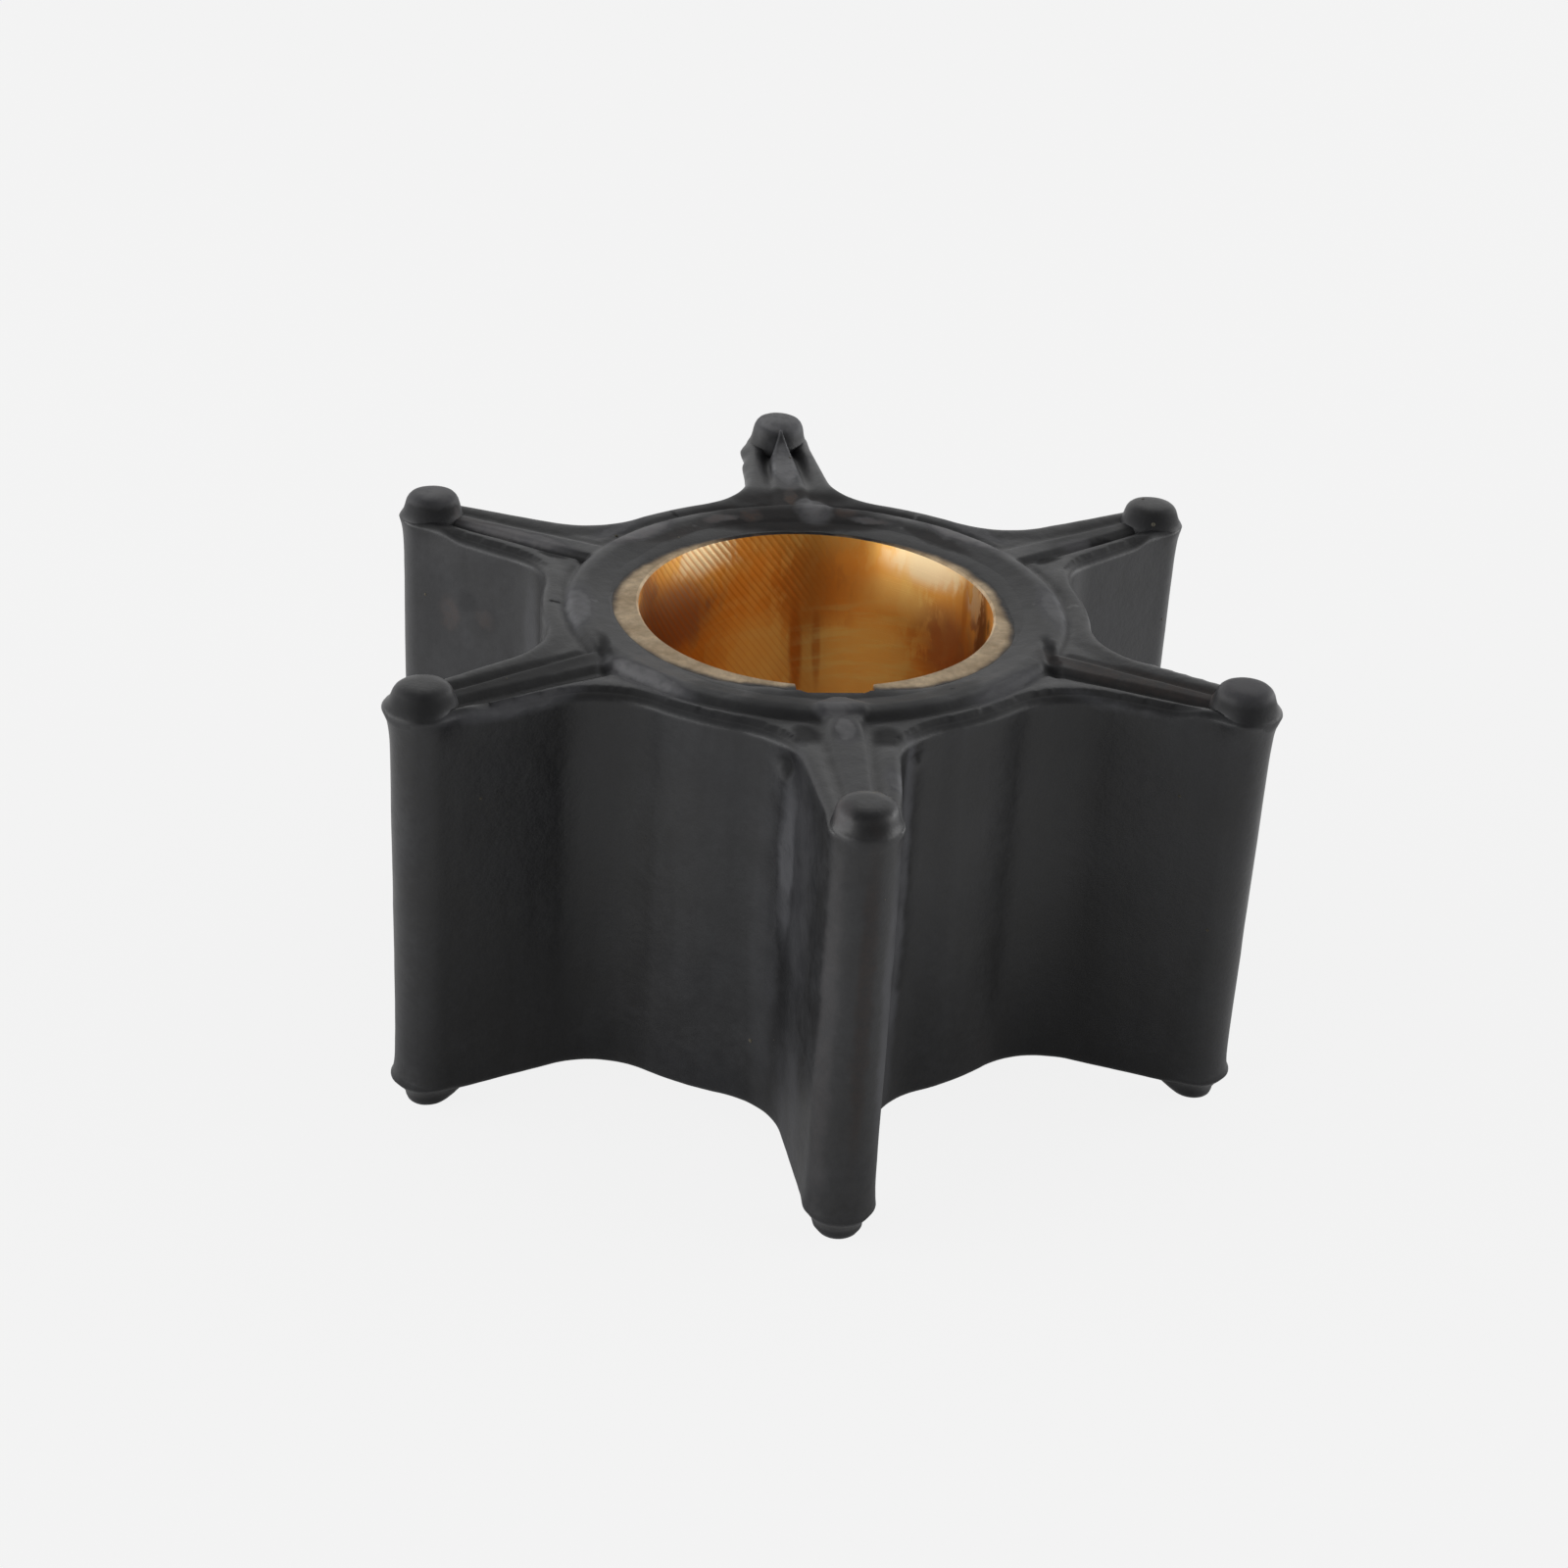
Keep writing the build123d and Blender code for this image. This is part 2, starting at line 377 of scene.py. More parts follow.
def mark_group():
    """A soft-edged oval mark, 1 at its centre and 0 outside its half sizes."""
    name = "Mark"
    if name in bpy.data.node_groups:
        return bpy.data.node_groups[name]
    inputs = {
        "Point": ("Vector", None),
        "Centre": ("Vector", None),
        "Size": ("Vector", (1.0, 1.0, 1.0)),
        "Turn": ("Float", 0.0),
    }
    tree, given, result = new_tree("ShaderNodeTree", name, inputs, {"Mask": "Float"})
    shifted = vector_node(tree, "SUBTRACT", given["Point"], given["Centre"])
    back = times(tree, given["Turn"], -1.0)
    turned = node(tree, "ShaderNodeVectorRotate", {"Vector": shifted, "Angle": back}, rotation_type="Z_AXIS")
    far = length_of(tree, vector_node(tree, "DIVIDE", turned.outputs[0], given["Size"]))
    tree.links.new(spread(tree, far, 1.15, 0.45), result["Mask"])
    return tree


def mark(tree, point, centre, size, turn):
    inputs = {"Point": point, "Centre": centre, "Size": size, "Turn": math.radians(turn)}
    return node(tree, "ShaderNodeGroup", inputs, node_tree=mark_group()).outputs[0]


def new_material(name):
    material = bpy.data.materials.new(name)
    material.use_nodes = True
    tree = material.node_tree
    tree.nodes.clear()
    shader = tree.nodes.new("ShaderNodeBsdfPrincipled")
    output = tree.nodes.new("ShaderNodeOutputMaterial")
    tree.links.new(shader.outputs[0], output.inputs["Surface"])
    return material, tree, shader.inputs


# Materials

def rubber_material(settings):
    """Moulded black rubber: paler and dusty on its edges, blotched, with a fine grain, painted shade in
    hollows, seams and on faces turned to the front, and painted highlights on crests, edges and nub tops.
    """
    material, tree, shader = new_material("Moulded rubber")
    point = place(tree)
    edge, hollow, painted_shade, pale = (
        node(tree, "ShaderNodeAttribute", attribute_name=name).outputs["Fac"]
        for name in ("edge", "hollow", "painted_shade", "pale"))
    broad = patches(tree, point, 7.0, 1.3, 0.55)
    blotch = patches(tree, point, 2.2, 4.1, 0.45)
    fine = patches(tree, point, 0.5, 8.7, 0.4)
    warmth = patches(tree, point, 3.4, 6.4, 0.4)
    streaks = patches(tree, vector_node(tree, "MULTIPLY", point, (1.0, 1.0, 0.12)), 1.2, 2.6, 0.5)

    wander = node(tree, "ShaderNodeTexNoise", {"Vector": point, "Scale": 0.9, "Detail": 3.0}).outputs["Color"]
    wander = scaled(tree, vector_node(tree, "SUBTRACT", wander, (0.5, 0.5, 0.5)), settings.mark_wander / MM)
    wandering = vector_node(tree, "ADD", point, wander)
    brown = 0.0
    # Marks below 0 paint shade; marks above 0 bleach the rubber or paint highlights
    for centre, size, turn, tone, tint in MARKS:
        mask = mark(tree, wandering, centre, size, turn)
        if tone < 0:
            painted_shade = math_node(tree, "MAXIMUM", painted_shade, times(tree, mask, -tone))
        else:
            pale = math_node(tree, "MAXIMUM", pale, times(tree, mask, tone))
        if tint:
            brown = math_node(tree, "MAXIMUM", brown, times(tree, mask, tint))

    radius = length_of(tree, vector_node(tree, "MULTIPLY", wandering, (1.0, 1.0, 0.0)))
    level = node(tree, "ShaderNodeSeparateXYZ", {0: wandering}).outputs[2]
    # Painted shade: the rim's inner part is darker and matt
    rim = times(tree, spread(tree, radius, 13.0, 12.2), spread(tree, level, 10.2, 10.7), settings.rim_shade)
    painted_shade = math_node(tree, "MAXIMUM", painted_shade, rim)
    painted_shade = times(tree, painted_shade, math_node(tree, "SUBTRACT", 1.0, pale, clamp=True))
    scuffed = times(tree, blotch, fine)
    worn = times(tree, edge, spread(tree, fine, 0.0, 0.8, 0.5, 1.0))
    # Pale tones for bleached rubber and for painted highlights alike
    bloom_and_highlight = times(tree, math_node(tree, "MINIMUM", pale, 1.0), spread(tree, blotch, 0.0, 0.7, 0.55, 0.95))
    chalk_and_highlight = math_node(tree, "SUBTRACT", pale, 1.0, clamp=True)
    chalk_and_highlight = times(tree, chalk_and_highlight, spread(tree, fine, 0.1, 0.7, 0.6, 1.0))
    rusty = times(tree, brown, spread(tree, fine, 0.1, 0.8, 0.2, 0.8))
    colour = tint_in_turn(tree, mix_colour(tree, broad, settings.deep_colour, settings.mid_colour), (
        (warmth, 0.7, settings.warm_colour),
        (streaks, 0.28, settings.worn_colour),
        (scuffed, 0.6, settings.worn_colour),
        (worn, 0.25, settings.worn_colour),
        # Painted shade: the hollows and the shade marks take the shade tone
        (hollow, 0.6, SHADE_TONE),
        (painted_shade, 0.95, SHADE_TONE),
        (bloom_and_highlight, 1.0, settings.pale_colour),
        (chalk_and_highlight, 1.0, settings.chalk_and_highlight_colour),
        (rusty, 1.0, settings.brown_colour),
    ))

    rough = mix_value(tree, broad, 0.40, 0.32)
    for mask, value in ((scuffed, 0.5), (bloom_and_highlight, 0.6), (painted_shade, 1.0)):
        rough = mix_value(tree, mask, rough, value)

    grain = node(tree, "ShaderNodeTexNoise", {"Vector": point, "Scale": 7.0, "Detail": 5.0, "Roughness": 0.6})
    height = math_node(tree, "ADD", times(tree, grain.outputs[0], 0.6), fine)
    bump = node(tree, "ShaderNodeBump", {"Strength": 0.22, "Distance": 0.05 * MM, "Height": height})
    feed(tree, shader, {
        "Base Color": colour,
        "Roughness": rough,
        "Specular IOR Level": settings.sheen_level,
        "Normal": bump.outputs[0],
    })
    return material


def bore_material(settings):
    """Brass turned on a lathe: rings round the bore, slanting chatter marks and tarnish, with painted
    highlights, painted shade on its sides and painted reflections on its far wall.
    """
    material, tree, shader = new_material("Bored brass")
    point = place(tree)
    axis = node(tree, "ShaderNodeSeparateXYZ", {0: point}).outputs
    turn = math_node(tree, "ARCTAN2", axis[1], axis[0])
    along = times(tree, math_node(tree, "SUBTRACT", turn, math.pi / 2), settings.bore_diameter / 2 / MM)

    def on_wall(across, up=axis[2]):
        return node(tree, "ShaderNodeCombineXYZ", {0: across, 1: up}).outputs[0]

    wobble = patches(tree, point, 6.0, 2.0, 0.2)
    stain = patches(tree, point, 3.0, 6.0, 0.4)
    rings = node(
        tree,
        "ShaderNodeTexNoise",
        {"W": math_node(tree, "ADD", times(tree, axis[2], 9.0), wobble), "Scale": 1.6, "Detail": 3.0},
        noise_dimensions="1D",
    ).outputs[0]
    slant = math_node(tree, "MULTIPLY_ADD", turn, CHATTER[0], times(tree, axis[2], CHATTER[1]))
    chatter = math_node(tree, "SINE", math_node(tree, "MULTIPLY_ADD", wobble, 2.0, slant))
    to_left = spread(tree, spread(tree, axis[0], 3.0, -1.0), 0.0, 1.0, 0.15, 1.0)
    chatter = times(tree, chatter, to_left, spread(tree, axis[2], 5.0, 8.0, 0.5, 1.0))
    strokes = {"Vector": on_wall(times(tree, along, 2.2)), "Scale": 0.6, "Detail": 5.0}
    strokes = spread(tree, node(tree, "ShaderNodeTexNoise", strokes).outputs[0], 0.45, 0.62)
    wander = times(tree, math_node(tree, "SUBTRACT", strokes, 0.5), 0.9)
    wandering, still = on_wall(math_node(tree, "ADD", along, wander)), on_wall(along)
    slope = math.tan(math.radians(-GLINT_SLOPE))
    lines = on_wall(times(tree, along, 0.16), math_node(tree, "MULTIPLY_ADD", along, slope, axis[2]))
    lines = node(tree, "ShaderNodeTexNoise", {"Vector": lines, "Scale": 1.5, "Detail": 4.0}).outputs[0]
    lines = spread(tree, lines, 0.42, 0.66)
    aside = math_node(tree, "ABSOLUTE", axis[0])
    # The keyway is darker: its broached finish, and painted shade
    in_key = times(tree, spread(tree, axis[1], -9.25, -9.33), spread(tree, aside, 2.1, 2.05))

    layers = [(stain, 0.3, settings.tarnish_and_reflection_colour), (strokes, 0.3, settings.gold_colour)]
    # The marks paint highlights, shade and reflections on the wall, as well as tarnish
    for centre, size, turned, tone, strength in BORE_MARKS:
        mask = mark(tree, still if min(size) < 0.5 else wandering, (*centre, 0.0), (*size, 1.0), turned)
        layers.append((mask, strength, getattr(settings, tone)))
    for centre, size, strength in GLINTS:
        mask = times(tree, mark(tree, still, (*centre, 0.0), (*size, 1.0), GLINT_SLOPE), lines)
        layers.append((mask, strength, settings.glint_colour))
    layers.append((spread(tree, chatter, -0.1, -1.0), 0.55, settings.tarnish_and_reflection_colour))
    layers.append((in_key, 1.0, settings.keyway_and_shade_colour))
    colour = tint_in_turn(tree, settings.deep_bore_colour, layers)
    height = math_node(tree, "MULTIPLY_ADD", rings, 0.8, times(tree, chatter, 0.35))
    bump = node(tree, "ShaderNodeBump", {"Strength": 0.35, "Distance": 0.03 * MM, "Height": height})
    feed(tree, shader, {
        "Base Color": colour,
        "Metallic": 1.0,
        "Roughness": mix_value(tree, stain, 0.34, 0.42),
        "Anisotropic": 0.85,
        "Anisotropic Rotation": 0.25,
        "Tangent": node(tree, "ShaderNodeTangent", direction_type="RADIAL", axis="Z").outputs[0],
        "Normal": bump.outputs[0],
    })
    return material


def film_radius(tree, turn):
    """The film's inner radius in millimetres, over the turn round the axis."""
    curve = node(tree, "ShaderNodeFloatCurve", {"Value": spread(tree, turn, -math.pi, math.pi, smooth=False)})
    line = curve.mapping.curves[0]
    line.points[0].location = (0.0, FILM_EDGE[0] / FILM_SCALE)
    line.points[1].location = (1.0, FILM_EDGE[0] / FILM_SCALE)
    for k, reach in enumerate(FILM_EDGE[1:], 1):
        line.points.new(k / len(FILM_EDGE), reach / FILM_SCALE)
    curve.mapping.update()
    return times(tree, curve.outputs[0], FILM_SCALE)


def end_face_material(settings):
    """The insert's end faces: dull pale brass, stained and smeared at their edges."""
    material, tree, shader = new_material("Dull brass end")
    point = place(tree)
    coarse = patches(tree, point, 1.6, 3.0, 0.4)
    fine = patches(tree, point, 0.35, 9.0, 0.3)
    axis = node(tree, "ShaderNodeSeparateXYZ", {0: point}).outputs
    radius = length_of(tree, vector_node(tree, "MULTIPLY", point, (1.0, 1.0, 0.0)))
    turn = math_node(tree, "ARCTAN2", axis[1], axis[0])
    past = math_node(tree, "SUBTRACT", radius, film_radius(tree, turn))
    ragged = math_node(tree, "MULTIPLY_ADD", coarse, 0.3, past)
    smear = spread(tree, ragged, -0.20, 0.20)
    colour = tint_in_turn(tree, mix_colour(tree, coarse, settings.end_colour, settings.end_stain_colour), (
        (fine, 0.45, (0.19, 0.12, 0.06, 1.0)),
        (spread(tree, ragged, -0.40, 0.05), 0.6, (0.15, 0.095, 0.055, 1.0)),
        (smear, 1.0, (0.016, 0.016, 0.017, 1.0)),
    ))
    bump = node(tree, "ShaderNodeBump", {"Strength": 0.6, "Distance": 0.05 * MM, "Height": fine})
    feed(tree, shader, {
        "Base Color": colour,
        "Metallic": mix_value(tree, smear, 0.35, 0.0),
        "Roughness": 0.6,
        "Normal": bump.outputs[0],
    })
    return material


def dust_material(settings):
    """Pale dust, a little browner in patches."""
    material, tree, shader = new_material("Pale dust")
    tint = patches(tree, place(tree), 2.0, 5.0, 0.5)
    colour = mix_colour(tree, tint, settings.dust_colour, (0.10, 0.085, 0.06, 1.0))
    feed(tree, shader, {"Base Color": colour, "Roughness": 0.9})
    return material


def floor_material(settings):
    """White to the eye and to reflections, but it keeps a faint shadow of the impeller, and reflections see
    it darker close to the part, a painted shadow.
    """
    material = bpy.data.materials.new("Studio floor")
    material.use_nodes = True
    tree = material.node_tree
    tree.nodes.clear()
    paths = node(tree, "ShaderNodeLightPath").outputs
    direct = math_node(tree, "MAXIMUM", paths["Is Camera Ray"], paths["Is Transmission Ray"])
    point = place(tree)
    # Painted shadow: close to the part, reflections see the floor darker
    faded = spread(tree, length_of(tree, point), 20.0, 42.0, settings.floor_near, 1.0)
    mirrored = times(tree, paths["Is Glossy Ray"], settings.floor_reflected, faded)
    share = math_node(tree, "MAXIMUM", times(tree, direct, settings.floor_whiteness), mirrored)
    tint = patches(tree, point, 60.0, 1.0, 0.5)
    colour = mix_colour(tree, tint, (0.80, 0.80, 0.80, 1.0), (0.82, 0.82, 0.82, 1.0))
    paper = node(tree, "ShaderNodeBsdfDiffuse", {"Color": colour})
    glow = node(tree, "ShaderNodeEmission", {"Color": (1.0, 1.0, 1.0, 1.0), "Strength": 1.0})
    mixed = node(tree, "ShaderNodeMixShader", {0: share, 1: paper.outputs[0], 2: glow.outputs[0]})
    output = node(tree, "ShaderNodeOutputMaterial", {"Surface": mixed.outputs[0]})
    output.is_active_output = True
    return material


# Mesh helpers

def link(obj):
    bpy.context.scene.collection.objects.link(obj)
    return obj


def finished_mesh(obj, name):
    """The object's mesh with its modifiers worked in."""
    bpy.context.view_layer.update()
    evaluated = obj.evaluated_get(bpy.context.evaluated_depsgraph_get())
    mesh = bpy.data.meshes.new_from_object(evaluated)
    mesh.name = name
    return mesh


def mesh_from(shell, name):
    """A new mesh from a bmesh, which is freed."""
    mesh = bpy.data.meshes.new(name)
    shell.to_mesh(mesh)
    shell.free()
    return mesh


def points_of(mesh):
    flat = np.zeros(len(mesh.vertices) * 3)
    mesh.vertices.foreach_get("co", flat)
    return flat.reshape(-1, 3)


def normals_of(mesh):
    flat = np.zeros(len(mesh.vertices) * 3)
    mesh.vertex_normals.foreach_get("vector", flat)
    return flat.reshape(-1, 3)


def set_points(mesh, points):
    mesh.vertices.foreach_set("co", np.ascontiguousarray(points, float).ravel())
    mesh.update()


def averaged(mesh, values, rounds):
    """Values smoothed over neighbouring vertices."""
    pairs = np.zeros(len(mesh.edges) * 2, np.int64)
    mesh.edges.foreach_get("vertices", pairs)
    first, second = pairs.reshape(-1, 2).T
    count = np.bincount(pairs, minlength=len(mesh.vertices)).astype(float)
    count[count == 0] = 1
    wide = values.reshape(len(values), -1).astype(float)
    for _ in range(rounds):
        total = np.empty_like(wide)
        for column in range(wide.shape[1]):
            total[:, column] = np.bincount(first, wide[second, column], len(wide))
            total[:, column] += np.bincount(second, wide[first, column], len(wide))
        wide = 0.5 * wide + 0.5 * total / count[:, None]
    return wide.reshape(values.shape)


def step(value, low, high):
    """Smooth rise from 0 at low to 1 at high."""
    t = np.clip((value - low) / (high - low), 0, 1)
    return t * t * (3 - 2 * t)


def bumps(angle, seed, count):
    """An uneven wave round the part, about -1 to 1."""
    random = np.random.default_rng(seed)
    total = np.zeros_like(angle)
    for turns in range(1, count):
        wave = np.sin(turns * angle + random.uniform(0, 2 * np.pi))
        total += wave * random.uniform(0.2, 1) / np.sqrt(count)
    return total


def vane_places(points):
    """Each point's distance out along its nearest vane, its distance across, and the vane's direction."""
    angle = np.degrees(np.arctan2(points[:, 1], points[:, 0]))
    vane = np.round((angle + 90) / 60) * 60 - 90
    turned = np.radians(angle - vane)
    radius = np.hypot(points[:, 0], points[:, 1])
    return radius * np.cos(turned), radius * np.sin(turned), (vane + 90) % 360 - 90


def set_attribute(mesh, name, values):
    attribute = mesh.attributes.new(name, "FLOAT", "POINT")
    attribute.data.foreach_set("value", np.ascontiguousarray(values, np.float32))


def modifier_inputs(modifier, values):
    """Sets a Geometry Nodes modifier's inputs by their sockets' names."""
    for item in modifier.node_group.interface.items_tree:
        if item.item_type == "SOCKET" and item.in_out == "INPUT" and item.name in values:
            modifier[item.identifier] = values[item.name]


def put_out(tree, geometry, given, result):
    """Ends a Geometry Nodes tree: makes the geometry real, with the given material."""
    real = node(tree, "GeometryNodeRealizeInstances", {0: geometry})
    inputs = {"Geometry": real.outputs[0], "Material": given["Material"]}
    painted = node(tree, "GeometryNodeSetMaterial", inputs)
    tree.links.new(painted.outputs[0], result["Geometry"])
    return tree


def unevenness_nodes():
    """Moves a surface in and out along its normals by two sizes of noise."""
    inputs = {
        "Wave size": ("Float", 5.0),
        "Wave height": ("Float", 0.04),
        "Ripple size": ("Float", 1.0),
        "Ripple height": ("Float", 0.015),
        "Seed": ("Float", 0.0),
        "Material": ("Material", None),
    }
    tree, given, result = new_geometry_tree("Rubber unevenness", inputs)
    position = node(tree, "GeometryNodeInputPosition").outputs[0]
    normal = node(tree, "GeometryNodeInputNormal").outputs[0]
    shift = 0.0
    for size, height in (("Wave size", "Wave height"), ("Ripple size", "Ripple height")):
        scale = math_node(tree, "DIVIDE", 1.0, given[size])
        noise = node(
            tree,
            "ShaderNodeTexNoise",
            {"Vector": position, "W": given["Seed"], "Scale": scale, "Detail": 2.0},
            noise_dimensions="4D",
        )
        centred = math_node(tree, "SUBTRACT", noise.outputs[0], 0.5)
        shift = math_node(tree, "MULTIPLY_ADD", centred, times(tree, given[height], 2.0), shift)
    inputs = {"Geometry": given["Geometry"], "Offset": scaled(tree, normal, shift)}
    moved = node(tree, "GeometryNodeSetPosition", inputs)
    return put_out(tree, moved.outputs[0], given, result)


def speck_nodes():
    """Scatters small flat specks over a surface."""
    inputs = {
        "Density": ("Float", 0.02),
        "Largest": ("Float", 0.12),
        "Seed": ("Int", 3),
        "Material": ("Material", None),
    }
    tree, given, result = new_geometry_tree("Scattered specks", inputs)
    spots = node(
        tree,
        "GeometryNodeDistributePointsOnFaces",
        {"Mesh": given["Geometry"], "Density": given["Density"], "Seed": given["Seed"]},
    )
    speck = node(tree, "GeometryNodeMeshIcoSphere", {"Radius": 1.0, "Subdivisions": 2})
    size = node(
        tree,
        "FunctionNodeRandomValue",
        {2: 0.25, 3: 1.0, "Seed": given["Seed"]},
        data_type="FLOAT",
    ).outputs[1]
    size = times(tree, math_node(tree, "POWER", size, 2.0), given["Largest"])
    lengths = node(tree, "ShaderNodeCombineXYZ", {0: size, 1: size, 2: times(tree, size, 0.35)})
    placed = node(
        tree,
        "GeometryNodeInstanceOnPoints",
        {
            "Points": spots.outputs["Points"],
            "Instance": speck.outputs["Mesh"],
            "Rotation": spots.outputs["Rotation"],
            "Scale": lengths.outputs[0],
        },
    )
    return put_out(tree, placed.outputs[0], given, result)


def with_geometry_nodes(obj, tree, values, name):
    """A new mesh made from the object by a Geometry Nodes tree."""
    modifier = obj.modifiers.new(tree.name, "NODES")
    modifier.node_group = tree
    modifier_inputs(modifier, values)
    mesh = finished_mesh(obj, name)
    obj.modifiers.remove(modifier)
    return mesh


# The rubber body

def arc(centre, radius, start, stop, spacing):
    """Points on an arc without its last one, and their outward directions from its centre."""
    count = max(2, round(abs(stop - start) * radius / spacing))
    angle = start + (stop - start) * np.arange(count) / count
    out = np.stack([np.cos(angle), np.sin(angle)], 1)
    return np.asarray(centre) + radius * out, out


def vane_outline(s, spacing=0.25):
    """Plan of the vane along +X and its share of the hub, from -30 to 30 degrees, with outward directions."""
    hub, fillet, tip_round = s.hub_diameter / 2 / MM, s.root_fillet / MM, s.vane_tip_width / 2 / MM
    half_root = s.vane_root_width / 2 / MM
    tip_centre = CAD_BOX[1].y / MM - tip_round
    root = np.array([math.sqrt(hub**2 - half_root**2), half_root])
    span = math.hypot(tip_centre - root[0], root[1])
    heading = math.atan2(-root[1], tip_centre - root[0]) + math.asin(tip_round / span)
    run = np.array([math.cos(heading), math.sin(heading)])
    side = np.array([-math.sin(heading), math.cos(heading)])
    start = root + fillet * side
    slide = -start @ run + math.sqrt((start @ run) ** 2 - start @ start + (hub + fillet) ** 2)
    fillet_centre = start + slide * run
    hub_angle = math.atan2(fillet_centre[1], fillet_centre[0])
    flank_start = fillet_centre - fillet * side
    flank_stop = np.array([tip_centre, 0.0]) + tip_round * side
    tip, tip_out = arc((tip_centre, 0.0), tip_round, 0.0, heading + math.pi / 2, spacing * 0.75)
    count = round(np.linalg.norm(flank_stop - flank_start) / spacing)
    share = np.arange(count) / count
    flank = flank_stop + share[:, None] * (flank_start - flank_stop)
    flank_out = np.repeat(side[None], len(flank), 0)
    corner, corner_out = arc(fillet_centre, fillet, heading - math.pi / 2, hub_angle - math.pi, spacing)
    rest, rest_out = arc((0.0, 0.0), hub, hub_angle, math.pi / 6, spacing)
    last = np.array([[math.cos(math.pi / 6), math.sin(math.pi / 6)]])
    points = np.concatenate([tip, flank, corner, rest, hub * last])
    out = np.concatenate([tip_out, flank_out, -corner_out, rest_out, last])
    mirror = np.array([1, -1])
    return np.concatenate([points[:0:-1] * mirror, points]), np.concatenate([out[:0:-1] * mirror, out])


def step_to(points, outline):
    """Shortest step from each plan point to an open outline, in blocks that fit in memory."""
    start, stop = outline[:-1], outline[1:]
    run = stop - start
    result = np.empty((len(points), 2))
    for first in range(0, len(points), 2000):
        block = points[first:first + 2000, None]
        share = np.clip(((block - start) * run).sum(2) / (run * run).sum(1), 0, 1)
        steps = start + share[..., None] * run - block
        nearest = (steps**2).sum(2).argmin(1)
        result[first:first + 2000] = steps[np.arange(len(nearest)), nearest]
    return result


def distance_inside(points, outline):
    return np.linalg.norm(step_to(points, outline), axis=1)


def end_height(points, s):
    """Height of the moulding's end over each point: rim, ridges, the channels beside them, and shoulders."""
    along, across, vane = vane_places(points)
    radius, wide = np.hypot(along, across), np.abs(across)
    upper = points[:, 2] > 0
    shape = np.tile(np.array(PLAIN_END), (len(points), 1))
    for direction, values in UPPER_ENDS.items():
        shape[upper & (vane == direction)] = values
    end, rim = s.body_height / 2 / MM, s.rim_diameter / 2 / MM
    inside = distance_inside(np.column_stack([along, across]), vane_outline(s)[0])
    climb = step(along, 20.8, 22.5) * (vane == 90) * upper
    narrowing = (1.15 - 0.45 * step(along, rim, 23.0)) * (1 - 0.6 * climb)
    from_ridge = wide - shape[:, 0] * narrowing
    from_rim = radius - rim - s.rim_spread / MM
    beside = np.minimum(from_ridge, from_rim)
    by_rim = step(from_ridge - from_rim, -0.3, 1.0)
    width = np.where(across < 0, shape[:, 1], shape[:, 3]) * (1 - by_rim) + 0.35 * by_rim
    depth = np.where(across < 0, shape[:, 2], shape[:, 4])
    depth = depth * (1 - shape[:, 5] * step(along, 20.0, 15.5)) * (1 - by_rim) + 0.10 * by_rim
    on_top = step(beside, 0.24, -0.20)
    channel = step(beside, -0.10, 0.24) * step(beside, width + 0.26, width - 0.20)
    shoulder = end - 0.14 * step(inside, 0.42, 1.6)
    inner = np.clip((from_rim + 0.70) / 0.9, 0, 1)
    rounded = s.rim_drop / MM * (1 - np.sqrt(1 - np.minimum(inner, 0.995) ** 2))
    rim_top = end + s.rim_rise / MM - rounded - s.rim_fall / MM * np.clip((rim - 0.6 - radius) / 1.5, 0, 1)
    on_rim = step(from_rim, 0.15, -0.30)
    top = end + (rim_top - end) * on_rim + 0.85 * climb
    low = shoulder - depth * channel
    height = low + (top - low) * on_top
    edge = s.edge_round / MM
    return end + (height - end) * np.maximum(step(inside, edge, edge + 0.3), radius < 11.5)


def end_plan(s, outline, out):
    """Plan points and triangles of one vane's share of an end face, inside its rounded edge."""
    edge = s.edge_round / MM
    grid = s.grid_size / MM
    border = outline - edge * out
    hub, seat = np.linalg.norm(border[-1]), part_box("brass_insert")[1].x / MM
    side = np.array([math.cos(math.pi / 6), math.sin(math.pi / 6)])
    down = np.linspace(hub, seat, max(3, round((hub - seat) / grid)))[1:, None] * side
    count = round(seat * math.pi / 3 / grid)
    angle = np.linspace(math.pi / 6, -math.pi / 6, count + 1)[1:-1]
    inner = seat * np.stack([np.cos(angle), np.sin(angle)], 1)
    loop = np.concatenate([border, down, inner, down[::-1] * (1, -1)])
    rows = np.arange(-7.6, 7.6, grid * math.sqrt(3) / 2)
    columns = np.arange(9.4, 25.6, grid)
    mesh_x, mesh_y = np.meshgrid(columns, rows)
    mesh_x = mesh_x + (np.arange(len(rows)) % 2)[:, None] * grid / 2
    filling = np.stack([mesh_x.ravel(), mesh_y.ravel()], 1)
    near = distance_inside(filling, np.concatenate([loop, loop[:1]]))
    filling = filling[within(filling, loop) & (near > 0.6 * grid)]
    joined = np.concatenate([loop, filling])
    fences = [(i, (i + 1) % len(loop)) for i in range(len(loop))]
    made = delaunay_2d_cdt([Vector(p) for p in joined], fences, [], 0, 1e-7)
    plan = np.array([tuple(v) for v in made[0]])
    triangles = np.array(made[2])
    return plan, triangles[within(plan[triangles].mean(1), loop)]


def within(points, loop):
    """Whether plan points lie inside a closed loop."""
    following = np.roll(loop, -1, 0)
    inside = np.zeros(len(points), bool)
    for (x0, y0), (x1, y1) in zip(loop, following):
        if y0 == y1:
            continue
        crosses = (points[:, 1] < y0) != (points[:, 1] < y1)
        inside ^= crosses & (points[:, 0] < x0 + (points[:, 1] - y0) * (x1 - x0) / (y1 - y0))
    return inside


